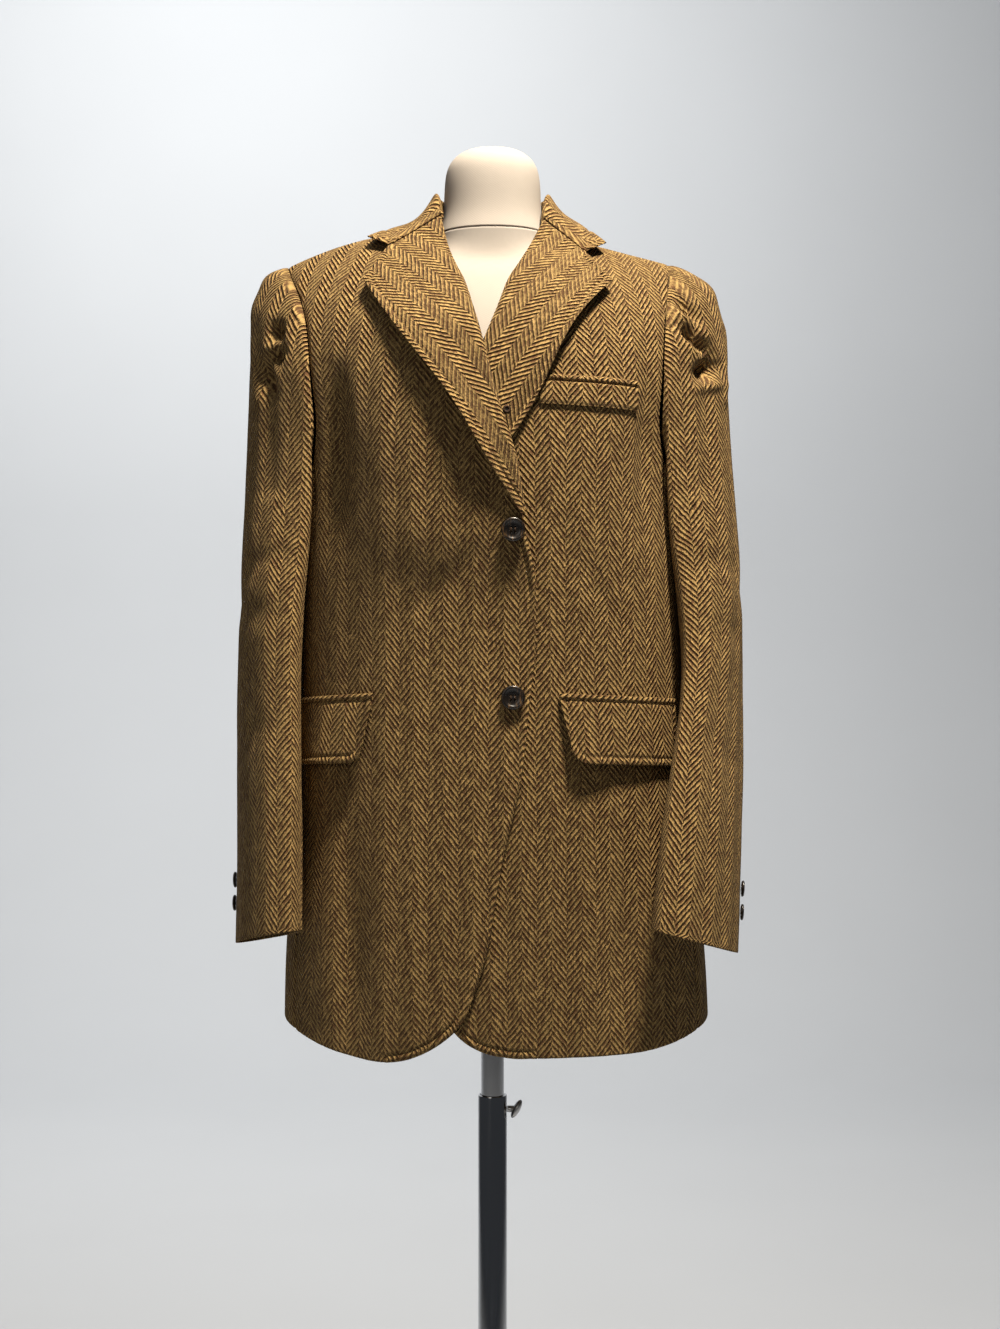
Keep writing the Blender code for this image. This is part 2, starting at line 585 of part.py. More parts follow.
def sleeve_ring(side, row, count):
    """One section of the sleeve: an oval, cupped round the body and turned in plan."""
    centre_x, centre_z, reach_x, reach_z, middle_y, half_depth, turn, cup, lean = row[:-1]
    angles = np.radians(np.linspace(0.0, 360.0, 361))
    turn = math.radians(turn)
    thick = reach_x * np.cos(angles) - cup * np.sin(angles) ** 2
    deep = half_depth * np.sin(angles)
    reach = centre_x + thick * math.cos(turn) - deep * math.sin(turn)
    y = middle_y - thick * math.sin(turn) - deep * math.cos(turn)
    z = centre_z + reach_z * np.cos(angles) + lean * deep
    points = np.stack((SIGN[side] * reach + sway(z), y, z), axis=1)
    return even_loop(points[:181], points[180:], count)


def sleeve_surface(side, around, along):
    """Sleeve points at angles round it (0 outer, 90 front) and shares of its length."""
    loop_steps = 144
    loop = armhole_loop(side, loop_steps + 1)
    turns = np.linspace(0.0, 360.0, loop_steps + 1)
    rings = [loop]
    for row in SLEEVE_CAP + SLEEVE_ARM[side]:
        own = row[-1]
        ring = sleeve_ring(side, row, loop_steps + 1)
        read = turns - own * SLEEVE_SKEW * np.sin(np.radians(turns))
        ring = np.stack([np.interp(read, turns, ring[:, k]) for k in range(3)], axis=1)
        rings.append(own * ring + (1.0 - own) * loop)
    rings = np.array(rings)
    knots = steps_along(rings[:, 0])
    lengths = spline(knots / knots[-1], rings, along)
    place = (np.asarray(around) % 360.0) / 360.0 * loop_steps
    low = np.floor(place).astype(int) % loop_steps
    share = (place - np.floor(place))[None, :, None]
    return lengths[:, low] * (1.0 - share) + lengths[:, low + 1] * share


def sleeve_grid(side, around, along):
    points = sleeve_surface(side, around, along)
    normals = grid_normals(points, points.mean(axis=(0, 1)))
    depth = np.zeros(points.shape[:2])
    for name, middle, place, half_around, half_along, deep in SLEEVE_DENTS:
        if name == side:
            depth += deep * (bump((around[None, :] - middle) / half_around)
                             * bump((along[:, None] - place) / half_along))
    return points - normals * depth[..., None]


def lapel_grid(side, columns, rows):
    """Outer points of a lapel, roll line to edge and break to gorge, lying on its front."""
    roll_end, notch, tip, *edge = (np.array(p) for p in LAPELS[side])
    levels = np.linspace(BREAK_LEVEL + LAPEL_FOOT_RISE, ROLL_TOP, 12)
    roll_x = sway(levels) + SIGN[side] * front_edge_reach(side, levels)
    roll = np.concatenate((np.stack((roll_x, levels), axis=1), roll_end[None]))
    outer = np.array([tip] + edge)[::-1]
    outer[0, 1] = levels[0]

    def along(points):
        steps = steps_along(points)
        return spline(steps / steps[-1], points, rows)

    low_side = along(roll)
    high_side = along(outer)
    share = columns[None, :, None]
    rise = rows[:, None, None]
    near = np.clip(columns / NOTCH_SHARE, 0.0, 1.0)[:, None]
    far = np.clip((columns - NOTCH_SHARE) / (1.0 - NOTCH_SHARE), 0.0, 1.0)[:, None]
    top = roll_end + (notch - roll_end) * near + (tip - notch) * far
    straight = roll_end + (tip - roll_end) * columns[:, None]
    flat = low_side[:, None] * (1.0 - share) + high_side[:, None] * share
    flat = flat + (top - straight)[None] * rise ** GORGE_SHARPNESS
    width = np.linalg.norm(high_side - low_side, axis=1)[:, None] * columns[None, :]
    rolled = smooth_step(0.0, ROLL_WIDTH, width)
    x = flat[..., 0]
    z = flat[..., 1]
    lift = LAPEL_LIFT * rolled ** ROLL_ROUNDNESS
    lift = lift + (LAPEL_EDGE_LIFT - LAPEL_LIFT) * columns[None, :] ** 2
    if side == "right":
        lift = lift + lap_lift(x, z)
    points = front_point(x, z, lift)[0]
    lean = LEAN_Y + LEAN_ACROSS * (np.abs(x) - abs(roll_end[0])) + LEAN_UP * (z - roll_end[1])
    ahead = np.maximum(points[..., 1] - lean, 0.0)
    points[..., 1] -= ahead * smooth_step(*LEAN_LEVELS, z)
    return points


def collar_section(foot, roll, edge, dip_near, dip_far):
    """Seven points across the collar: up the stand, over the roll and down the fall."""
    foot, roll, edge = np.array(foot), np.array(roll), np.array(edge)
    up = np.array((0.0, 0.0, 1.0))
    outward = (edge - roll) * (1.0, 1.0, 0.0)
    outward /= np.linalg.norm(outward)
    inside, outside = (roll + (outward * out + up * rise) * COLLAR_ROLL_RADIUS
                       for out, rise in (COLLAR_ROLL_INSIDE, COLLAR_ROLL_OUTSIDE))
    near, far = (roll + (edge - roll) * share + up * dip
                 for share, dip in zip(COLLAR_BENDS, (dip_near, dip_far)))
    return np.array((foot, inside, roll, outside, near, far, edge))


def gorge_section(side, columns):
    """The collar's end: its fall follows the top of the lapel, then runs out to the corner."""
    up = np.array((0.0, 0.0, 1.0))
    shares = np.interp(columns, COLLAR_KNOTS[2:6], GORGE_SHARES)
    lapel = lapel_grid(side, shares, np.array([1.0]))[0] + up * GORGE_GAP
    roll, notch = lapel_grid(side, np.array((0.0, NOTCH_SHARE)), np.array([1.0]))[0] + up * GORGE_GAP
    corner = front_point(*COLLAR_CORNERS[side], COLLAR_CORNER_LIFT)[0]
    own_side = np.array((SIGN[side], 1.0, 1.0))
    inside = roll + own_side * GORGE_INSIDE
    foot = roll + own_side * GORGE_FOOT
    stand = spline(COLLAR_KNOTS[:3], np.array((foot, inside, roll)), columns)
    beyond = ((columns - COLLAR_KNOTS[5]) / (1.0 - COLLAR_KNOTS[5]))[:, None]
    end = notch + (corner - notch) * beyond
    at = columns[:, None]
    return np.where(at < COLLAR_KNOTS[2], stand, np.where(at > COLLAR_KNOTS[5], end, lapel))


def collar_grid(columns, rows):
    """Outer points of the collar: rows from gorge to gorge, columns foot to roll to edge."""
    sections = [collar_section(*row) for row in COLLAR_SECTIONS]
    across = [spline(COLLAR_KNOTS, section, columns) for section in sections]
    across = np.array([gorge_section("right", columns)] + across + [gorge_section("left", columns)])
    rolls = np.array([spline(COLLAR_KNOTS, section, COLLAR_KNOTS[2]) for section in sections])
    ends = [lapel_grid(side, np.array([0.0]), np.array([1.0]))[0] for side in SIGN]
    rolls = np.concatenate((ends[0], rolls, ends[1]))
    steps = steps_along(rolls)
    return spline(steps / steps[-1], across, rows)


def pocket_grid(side, columns, rows, top, height, lift, slant, corner):
    """Points lying on the body at a pocket mouth, from its inner end round to the side."""
    inner_x, level, fall = FLAPS[side]
    angles = np.linspace(0.0, POCKET_ARC, 400)
    ring = ring_point(angles, np.full(len(angles), run_at(level)), side)
    lengths = steps_along(ring)
    start = np.interp(ring_angle(SIGN[side] * (inner_x - sway(level)), run_at(level)), angles, lengths)
    share = columns[None, :]
    inset = np.clip(corner - share * FLAP_WIDTH, 0.0, corner)
    bottom = height - (corner - np.sqrt(np.maximum(corner ** 2 - inset ** 2, 0.0)))
    down = bottom * rows[:, None]
    length = start + FLAP_WIDTH * share + slant * (1.0 - share) * down / height
    angle = np.interp(length, lengths, angles)
    run = run_at(level + top - fall * share - down)
    points = ring_point(angle, run, side)
    normals = grid_normals(points, (0.0, 0.0, level))
    stand_off = lift + (lap_lift(points[..., 0], points[..., 2]) if side == "right" else 0.0)
    return points + normals * np.broadcast_to(stand_off, points.shape[:2])[..., None]


def welt_grid(columns, rows):
    x = WELT_START + (WELT_END - WELT_START) * columns[None, :]
    z = WELT_TOP - WELT_FALL * columns[None, :] - WELT_HEIGHT * rows[:, None]
    depth = trough_depth("left", x, z)
    return front_point(x, z, WELT_LIFT - depth)[0]


def new_object(name, mesh, material, collection, parent=None):
    thing = bpy.data.objects.new(name, mesh)
    mesh.materials.append(material)
    collection.objects.link(thing)
    thing.parent = parent
    mesh.shade_smooth()
    return thing


def cloth_panel(name, points, wall, outward, kit):
    """An open sheet through a grid of points, made a wall that grows inwards from it."""
    rows, columns = points.shape[:2]
    mesh = bpy.data.meshes.new(name)
    sheet = bmesh.new()
    bmesh.ops.create_grid(sheet, x_segments=columns - 1, y_segments=rows - 1, size=0.5)
    for vert in sheet.verts:
        column = round((vert.co.x + 0.5) * (columns - 1))
        row = round((vert.co.y + 0.5) * (rows - 1))
        vert.co = Vector(points[row, column])
    sheet.normal_update()
    facing = sum(face.normal.dot(face.calc_center_median() - Vector(outward)) for face in sheet.faces)
    if facing < 0.0:
        bmesh.ops.reverse_faces(sheet, faces=sheet.faces)
    sheet.to_mesh(mesh)
    sheet.free()
    panel = new_object(name, mesh, kit["materials"]["tweed"], kit["parts"], kit["figure"])
    solid = panel.modifiers.new("wall", "SOLIDIFY")
    solid.thickness = wall
    solid.offset = -1.0
    mesh.set_sharp_from_angle(angle=RIM_ANGLE)
    return panel


def ring_loft(name, rings, material, kit):
    """A closed solid through level oval rings, flat at both ends."""
    levels, widths, fronts, backs = np.array(rings).T
    turns = np.radians(np.arange(FORM_SIDES) * 360.0 / FORM_SIDES)
    power = 2.0 / FORM_SHAPE
    mesh = bpy.data.meshes.new(name)
    solid = bmesh.new()
    loops = []
    for level, width, front, back in zip(levels, widths, fronts, backs):
        x = width * np.sign(np.sin(turns)) * np.abs(np.sin(turns)) ** power
        y = np.where(np.cos(turns) >= 0.0, -front, back) * np.abs(np.cos(turns)) ** power
        loops.append([solid.verts.new((a, b, level)) for a, b in zip(x, y)])
    for lower, upper in zip(loops, loops[1:]):
        for i in range(FORM_SIDES):
            j = (i + 1) % FORM_SIDES
            solid.faces.new((lower[i], lower[j], upper[j], upper[i]))
    solid.faces.new(loops[0][::-1])
    solid.faces.new(loops[-1])
    bmesh.ops.recalc_face_normals(solid, faces=solid.faces)
    solid.to_mesh(mesh)
    solid.free()
    body = new_object(name, mesh, material, kit["parts"], kit["figure"])
    mesh.set_sharp_from_angle(angle=RIM_ANGLE)
    return body


def fine_rings(rings, count):
    """The same rings read off a smooth curve, closer together."""
    table = np.array(rings)
    steps = steps_along(table[:, :2])
    return spline(steps, table, np.linspace(0.0, steps[-1], count))


def turned(name, profile, material, kit, steps=ROUND_STEPS, closed=False):
    """A section of radius and height turned about Z with a Screw modifier."""
    mesh = bpy.data.meshes.new(name)
    count = len(profile)
    edges = [(i, i + 1) for i in range(count - 1)]
    if closed:
        edges.append((count - 1, 0))
    mesh.from_pydata([(radius, 0.0, height) for radius, height in profile], edges, [])
    thing = new_object(name, mesh, material, kit["parts"])
    screw = thing.modifiers.new("turn", "SCREW")
    screw.steps = steps
    screw.render_steps = steps
    screw.use_merge_vertices = True
    screw.merge_threshold = 0.00005
    screw.use_smooth_shade = True
    return thing


def body_rows():
    """Shares up a front or a back, hem to shoulder, with a line at the armhole's foot."""
    low = run_at(HEM_LEVEL + HEM_RISE)
    foot = (run_at(ARMHOLE_LOW) - low) / (RUN_TOP - SHOULDER_GAP - low)
    return np.concatenate((even_lines("side_rows") * foot,
                           foot + (1.0 - foot) * even_lines("shoulder_rows")[1:]))


def make_fronts(kit):
    for side in SIGN:
        points = front_grid(side, np.array(FRONT_LINES), body_rows())
        cloth_panel("front_" + side, points, WALL, BODY_MIDDLE, kit)


def make_backs(kit):
    for side in SIGN:
        points = side_grid(side, even_lines("side_columns"), even_lines("side_rows"))
        cloth_panel("side_" + side, points, WALL, BODY_MIDDLE, kit)
        points = back_grid(side, np.array(BACK_LINES), body_rows())
        cloth_panel("back_" + side, points, WALL, BODY_MIDDLE, kit)


def make_sleeves(kit):
    head = np.linspace(*SLEEVE_HEAD_LINES)
    arm = np.linspace(*SLEEVE_ARM_LINES)[1:]
    along = np.concatenate(([SLEEVE_START], head, arm, [1.0]))
    seams = (SLEEVE_BACK_SEAM, SLEEVE_FRONT_SEAM, 360.0 + SLEEVE_BACK_SEAM)
    top = np.array((seams[0] + SLEEVE_TRIM, *TOP_SLEEVE_LINES, seams[1] - SLEEVE_TRIM))
    under = np.array((seams[1] + SLEEVE_TRIM, *UNDER_SLEEVE_LINES, seams[2] - SLEEVE_TRIM))
    for side in SIGN:
        points = sleeve_grid(side, top, along)
        cloth_panel("top_sleeve_" + side, points, SLEEVE_WALL, points.mean(axis=(0, 1)), kit)
        low = sleeve_surface(side, under, along)
        whole = sleeve_surface(side, np.linspace(0.0, 350.0, 36), along)
        cloth_panel("under_sleeve_" + side, low, SLEEVE_WALL, whole.mean(axis=(0, 1)), kit)


def make_lapels_and_collar(kit):
    for side in SIGN:
        points = lapel_grid(side, np.array(LAPEL_LINES), even_lines("lapel_rows"))
        cloth_panel("lapel_" + side, points, FOLD_WALL, BEHIND_CHEST, kit)
    points = collar_grid(np.array(COLLAR_LINES), even_lines("collar_rows"))
    cloth_panel("collar", points, FOLD_WALL, NECK_MIDDLE, kit)


def make_pockets(kit):
    for side in SIGN:
        flap = pocket_grid(side, np.array(FLAP_LINES), even_lines("flap_rows"), 0.0, FLAP_HEIGHT,
                           FLAP_LIFT, FLAP_SLANT, FLAP_CORNER)
        cloth_panel("flap_" + side, flap, FOLD_WALL, BODY_MIDDLE, kit)
        jet = pocket_grid(side, even_lines("jet_columns"), np.array((0.0, 1.0)), JET_HEIGHT + SEAM_GAP,
                          JET_HEIGHT, JET_LIFT, 0.0, JET_CORNER)
        cloth_panel("jet_" + side, jet, FOLD_WALL, BODY_MIDDLE, kit)
    points = welt_grid(even_lines("welt_columns"), even_lines("welt_rows"))
    cloth_panel("breast_welt", points, FOLD_WALL, BODY_MIDDLE, kit)


def place_button(name, radius, point, normal, kit):
    scale = radius / BUTTON_RADIUS
    profile = [(share * radius, height * MILLIMETRE * scale) for share, height in BUTTON_PROFILE]
    button = turned(name, profile, kit["materials"]["horn"], kit, steps=BUTTON_STEPS)
    turn = Vector(normal).to_track_quat("Z", "Y").to_matrix().to_4x4()
    button.parent = kit["figure"]
    button.matrix_world = Matrix.Translation(Vector(point) + Vector(normal) * BUTTON_STANDOFF) @ turn


def make_buttons(kit):
    for name, height in BUTTON_HEIGHTS.items():
        point, normal = front_point(BUTTON_X, height, lap_lift(np.array(BUTTON_X), np.array(height)))
        place_button(name, BUTTON_RADIUS, point, normal, kit)
    for side in SIGN:
        around = CUFF_BUTTON_AROUND + np.array(CUFF_BUTTON_PATCH)
        along = np.linspace(CUFF_START, 1.0, 401)
        patch = sleeve_surface(side, around, along)
        inside = sleeve_surface(side, around + 180.0, along)
        lengths = np.linalg.norm(np.diff(patch[:, 1], axis=0), axis=1)
        up = np.cumsum(lengths[::-1])[::-1]
        for number, rise in enumerate(CUFF_BUTTON_RISE, 1):
            row = int(np.argmin(np.abs(up - rise)))
            across = patch[row, 2] - patch[row, 0]
            down = patch[row + 2, 1] - patch[row - 2, 1]
            normal = np.cross(across, down)
            normal /= np.linalg.norm(normal)
            if normal @ (patch[row, 1] - inside[row, 1]) < 0.0:
                normal = -normal
            place_button(f"cuff_button_{side}_{number}", CUFF_BUTTON_RADIUS, patch[row, 1], normal, kit)


def make_form(kit):
    linen = kit["materials"]["linen"]
    ring_loft("form_torso", fine_rings(FORM_RINGS, FORM_LEVELS), linen, kit)
    ring_loft("form_neck", fine_rings(NECK_RINGS, NECK_LEVELS), linen, kit)


def make_stand(kit):
    materials = kit["materials"]
    socket = TUBE_RADIUS + SEAM_GAP
    mouth = [(socket, BASE_RIM[-1][1]), (socket, BASE_SOCKET_FLOOR), (0.0, BASE_SOCKET_FLOOR)]
    section = [(0.0, 0.0)] + list(BASE_RIM) + mouth
    turned("stand_base", section[::-1], materials["steel"], kit)
    bottom = BASE_SOCKET_FLOOR + SEAM_GAP
    tube = [(TUBE_BORE, TUBE_TOP), (TUBE_RADIUS, TUBE_TOP), (TUBE_RADIUS, bottom), (TUBE_BORE, bottom)]
    turned("stand_tube", tube, materials["chrome"], kit, closed=True)
    top = FORM_RINGS[0][0] - SEAM_GAP
    rod = [(0.0, top), (ROD_RADIUS, top), (ROD_RADIUS, ROD_BOTTOM), (0.0, ROD_BOTTOM)]
    turned("form_rod", rod, materials["chrome"], kit).parent = kit["mast"]


def make_knob(kit):
    """Thumb screw: a round shank with an oval, tilted wing for a head."""
    mesh = bpy.data.meshes.new("stand_knob")
    shank = bmesh.new()
    along_x = Matrix.Rotation(math.radians(90.0), 4, "Y")
    middle = Matrix.Translation((KNOB_SHANK_LENGTH / 2.0, 0.0, 0.0))
    bmesh.ops.create_cone(shank, cap_ends=True, segments=16, radius1=KNOB_SHANK_RADIUS,
                          radius2=KNOB_SHANK_RADIUS, depth=KNOB_SHANK_LENGTH, matrix=middle @ along_x)
    shank.to_mesh(mesh)
    shank.free()
    knob = new_object("stand_knob", mesh, kit["materials"]["steel"], kit["parts"])
    knob.location = (TUBE_RADIUS + SEAM_GAP, 0.0, KNOB_HEIGHT)
    wing_mesh = bpy.data.meshes.new("knob_wing_cutter")
    wing = bmesh.new()
    shape = Matrix.Diagonal((*KNOB_WING, 1.0))
    tilt = Matrix.Rotation(math.radians(KNOB_TILT), 4, "Y")
    place = Matrix.Translation((KNOB_SHANK_LENGTH, 0.0, 0.0))
    bmesh.ops.create_uvsphere(wing, u_segments=16, v_segments=10, radius=1.0, matrix=place @ tilt @ shape)
    wing.to_mesh(wing_mesh)
    wing.free()
    cutter = new_object("knob_wing_cutter", wing_mesh, kit["materials"]["steel"], kit["cutters"], knob)
    cutter.hide_render = True
    cutter.display_type = "WIRE"
    union = knob.modifiers.new("wing", "BOOLEAN")
    union.operation = "UNION"
    union.solver = "EXACT"
    union.object = cutter


def make_materials():
    made = {}
    for name, (colour, roughness, metallic) in MATERIALS.items():
        material = bpy.data.materials.new(name)
        material.use_nodes = True
        shader = material.node_tree.nodes["Principled BSDF"]
        shader.inputs["Base Color"].default_value = (*colour, 1.0)
        shader.inputs["Roughness"].default_value = roughness
        shader.inputs["Metallic"].default_value = metallic
        made[name] = material
    return made


def new_collection(name):
    collection = bpy.data.collections.new(name)
    bpy.context.scene.collection.children.link(collection)
    return collection


def main():
    for thing in list(bpy.data.objects):
        bpy.data.objects.remove(thing, do_unlink=True)
    kit = {"materials": make_materials(), "parts": new_collection("tweed_blazer_on_form"),
           "cutters": new_collection("cutters")}
    for name in ("mast", "figure"):
        kit[name] = bpy.data.objects.new(name + "_axis", None)
        kit["parts"].objects.link(kit[name])
    kit["figure"].parent = kit["mast"]
    make_stand(kit)
    make_knob(kit)
    make_form(kit)
    make_fronts(kit)
    make_backs(kit)
    make_sleeves(kit)
    make_lapels_and_collar(kit)
    make_pockets(kit)
    make_buttons(kit)


main()
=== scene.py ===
"""Herringbone tweed blazer on a dress form with a telescoping stand: cloth, sewing and finishes.

Metres, +Z up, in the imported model's frame. The front faces -Y and the pole stands on the Z axis.
Sides are the wearer's: the right front, which laps over the left one, is at -X.
"""
import math

import bmesh
import bpy
import numpy as np
from bpy.props import FloatProperty, FloatVectorProperty, IntProperty, PointerProperty
from mathutils import Matrix, Vector, noise
from mathutils.kdtree import KDTree


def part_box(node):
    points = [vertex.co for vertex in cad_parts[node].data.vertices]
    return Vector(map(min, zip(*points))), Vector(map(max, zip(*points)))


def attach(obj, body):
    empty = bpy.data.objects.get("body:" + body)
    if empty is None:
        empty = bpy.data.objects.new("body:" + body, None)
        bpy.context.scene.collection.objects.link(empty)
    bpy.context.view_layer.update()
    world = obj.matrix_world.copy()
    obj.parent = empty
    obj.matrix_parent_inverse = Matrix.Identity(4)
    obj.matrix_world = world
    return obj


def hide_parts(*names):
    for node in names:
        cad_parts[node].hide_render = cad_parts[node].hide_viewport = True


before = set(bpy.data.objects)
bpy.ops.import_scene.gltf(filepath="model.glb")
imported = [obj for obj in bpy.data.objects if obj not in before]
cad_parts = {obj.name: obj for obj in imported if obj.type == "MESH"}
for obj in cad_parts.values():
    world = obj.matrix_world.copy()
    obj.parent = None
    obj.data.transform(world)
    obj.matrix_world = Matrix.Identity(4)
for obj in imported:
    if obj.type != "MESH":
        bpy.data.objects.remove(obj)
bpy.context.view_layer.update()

bl_info = {
    "name": "Tweed blazer on a dress form",
    "version": (1, 0, 0),
    "blender": (4, 5, 0),
    "location": "3D View > Sidebar > Blazer",
    "description": "Hangs the cloth of a tweed blazer on its packed dress form and finishes the stand",
    "category": "Object",
}

# Rings of the jacket's body, hem to shoulder ridge: level, half width, reach to front and back
BODY_RINGS = (
    (0.690, 0.2060, 0.114, 0.124),
    (0.745, 0.2055, 0.117, 0.124),
    (0.860, 0.2000, 0.120, 0.123),
    (0.960, 0.1910, 0.121, 0.117),
    (1.060, 0.1856, 0.121, 0.107),
    (1.130, 0.1842, 0.121, 0.102),
    (1.200, 0.1808, 0.125, 0.105),
    (1.270, 0.1790, 0.129, 0.111),
    (1.340, 0.1850, 0.128, 0.115),
    (1.400, 0.1920, 0.117, 0.114),
    (1.445, 0.1970, 0.097, 0.105),
    (1.480, 0.2000, 0.070, 0.086),
    (1.505, 0.2020, 0.042, 0.060),
    (1.518, 0.2030, 0.018, 0.031),
    (1.522, 0.2035, 0.000, 0.000),
)
RING_SHAPE = 2.3
RIDGE_LEVEL = BODY_RINGS[-1][0]
SHOULDER_START = 0.030
SHOULDER_TIP = 0.190
SHOULDER_DROP = {"right": 0.034, "left": 0.037}
SHOULDER_CURVE = {"right": 2.2, "left": 1.2}
SLOPE_LEVEL = 1.270
SWAY = -0.0129
SWAY_LEVEL = 1.060

# Hem and front edges: level, x of the right front's edge, x of the left front's
HEM_LEVEL = 0.741
HEM_DIP = {"right": 0.005, "left": 0.001}
HEM_DIP_REACH = 0.085
HEM_RISE = 0.022
HEM_RISE_FROM = 29.0
CORNER_RADIUS = {"right": 0.042, "left": 0.034}
BREAK_LEVEL = 1.232
FRONT_EDGES = (
    (0.690, -0.052, -0.012),
    (0.757, -0.033, -0.034),
    (0.786, -0.021, -0.045),
    (0.838, -0.0045, -0.057),
    (0.921, 0.010, -0.068),
    (0.993, 0.026, -0.077),
    (1.064, 0.034, -0.082),
    (1.118, 0.040, -0.084),
    (1.155, 0.041, -0.084),
    (1.192, 0.039, -0.079),
    (BREAK_LEVEL, 0.032, -0.067),
    (1.294, 0.021, -0.045),
    (1.332, 0.009, -0.031),
    (1.396, -0.008, -0.008),
    (1.445, -0.022, 0.010),
    (1.480, -0.036, 0.027),
    (1.505, -0.056, 0.053),
    (RIDGE_LEVEL, -0.072, 0.070),
)
SIDE_SEAM = 0.93
BACK_SEAM = 0.88
SEAM_GAP = 0.0003
SHOULDER_GAP = 0.0012
ARMHOLE_LOW = 1.290
ARMHOLE = (
    (1.330, 0.1635, 0.1630),
    (1.370, 0.1655, 0.1640),
    (1.410, 0.1680, 0.1655),
    (1.445, 0.1715, 0.1680),
    (1.480, 0.1795, 0.1715),
    (1.505, 0.1880, 0.1745),
    (RIDGE_LEVEL, 0.1940, 0.1765),
)
ARMPIT_LEVEL = 1.262
NECK_BACK_LEVEL = 1.508
NECK_BACK_REACH = 0.0715

# How far the right front stands out where it laps over the left front and over its lapel, and
# between which x and levels that comes in
LAP_LIFT = 0.0045
LAP_SIDE = (-0.135, -0.095)
LAP_TOP = (1.475, 1.405)
LAPEL_LAP_LIFT = 0.0050
LAPEL_LAP_SIDE = (-0.125, -0.060)
LAPEL_LAP_TOP = (1.460, 1.400)
LAPEL_LAP_FOOT = (1.160, 1.225)

# Soft troughs in the fronts: side, x and level of the middle, half width, half height, depth
FRONT_TROUGHS = (
    ("right", -0.147, 1.295, 0.021, 0.100, 0.0125),
    ("left", 0.146, 1.300, 0.020, 0.090, 0.0090),
    ("right", -0.128, 0.830, 0.022, 0.115, 0.0060),
    ("left", 0.120, 0.820, 0.024, 0.100, 0.0050),
)
# Creases of the fronts: side, x and level of both ends, half width, depth (a ridge below zero)
FRONT_CREASES = (
    ("right", -0.010, 1.205, -0.090, 1.130, 0.012, 0.0012),
    ("right", -0.015, 1.185, -0.060, 1.090, 0.010, -0.0010),
    ("right", -0.080, 0.760, -0.070, 0.960, 0.020, -0.0022),
    ("right", -0.158, 0.775, -0.150, 0.930, 0.012, -0.0016),
    ("right", -0.045, 0.760, -0.030, 0.900, 0.014, 0.0014),
    ("right", -0.105, 1.440, -0.120, 1.330, 0.011, 0.0012),
    ("right", -0.149, 1.372, -0.152, 1.215, 0.016, 0.0034),
    ("left", 0.060, 0.765, 0.075, 0.930, 0.018, 0.0020),
    ("left", 0.150, 0.780, 0.146, 0.930, 0.012, -0.0016),
    ("left", 0.050, 1.240, 0.120, 1.130, 0.014, 0.0014),
    ("left", 0.095, 1.330, 0.140, 1.220, 0.012, 0.0012),
    ("left", 0.105, 1.440, 0.125, 1.380, 0.010, 0.0010),
)
# Creases of the backs, the same columns
BACK_CREASES = (
    ("right", -0.150, 1.410, -0.120, 1.270, 0.016, 0.0022),
    ("left", 0.150, 1.405, 0.115, 1.255, 0.016, 0.0024),
    ("right", -0.030, 1.130, -0.120, 1.100, 0.012, 0.0016),
    ("left", 0.020, 1.115, 0.110, 1.085, 0.012, 0.0015),
    ("right", -0.090, 0.780, -0.080, 1.000, 0.022, 0.0026),
    ("left", 0.070, 0.780, 0.075, 0.985, 0.024, 0.0028),
    ("left", 0.130, 0.790, 0.125, 0.930, 0.014, -0.0018),
    ("right", -0.070, 1.490, -0.130, 1.470, 0.010, 0.0012),
    ("left", 0.065, 1.490, 0.125, 1.468, 0.010, 0.0012),
)

# Lapels: x and height of the roll's upper end, the notch, the tip and four points of the edge
LAPELS = {
    "right": ((-0.0490, 1.5300), (-0.0985, 1.4965), (-0.1200, 1.4580), (-0.0800, 1.3970),
              (-0.0375, 1.3410), (0.0050, 1.2690), (0.0270, 1.2320)),
    "left": ((0.0490, 1.5260), (0.0895, 1.4900), (0.1125, 1.4590), (0.0760, 1.4150),
             (0.0430, 1.3470), (-0.0140, 1.2680), (-0.0500, 1.2320)),
}
NOTCH_SHARE = 0.57
LAPEL_LIFT = 0.0042
LAPEL_EDGE_LIFT = 0.0058
# How far the lapels' edges spring off the fronts: most, level where it starts, where it is full,
# where it has eased off, and the share left there
LAPEL_SPRING = {"right": (0.0105, 1.245, 1.315, 1.450, 0.55), "left": (0.0060, 1.335, 1.400, 1.460, 0.90)}
ROLL_WIDTH = 0.0045
ROLL_START = 0.075
ROLL_TOP = 1.480
ROLL_ROUNDNESS = 0.6
LAPEL_FOOT_RISE = 0.004
GORGE_SHARPNESS = 6
# The buttonhole in the left lapel: x and height
BUTTONHOLE = (0.0132, 1.3294)
# Its overcasting, reach and rise along a strand and thickness, and its eye
OVERCAST_REACH = np.array((0.0016, 0.0020, 0.0026, 0.0032, 0.0037))
OVERCAST_RISE = np.array((0.0, 0.0004, 0.0006, 0.0004, 0.0))
OVERCAST_RADIUS = 0.00042
EYE_RADIUS = 0.0018
EYE_LIFT = 0.00012
EYE_DEPTH = 0.0003

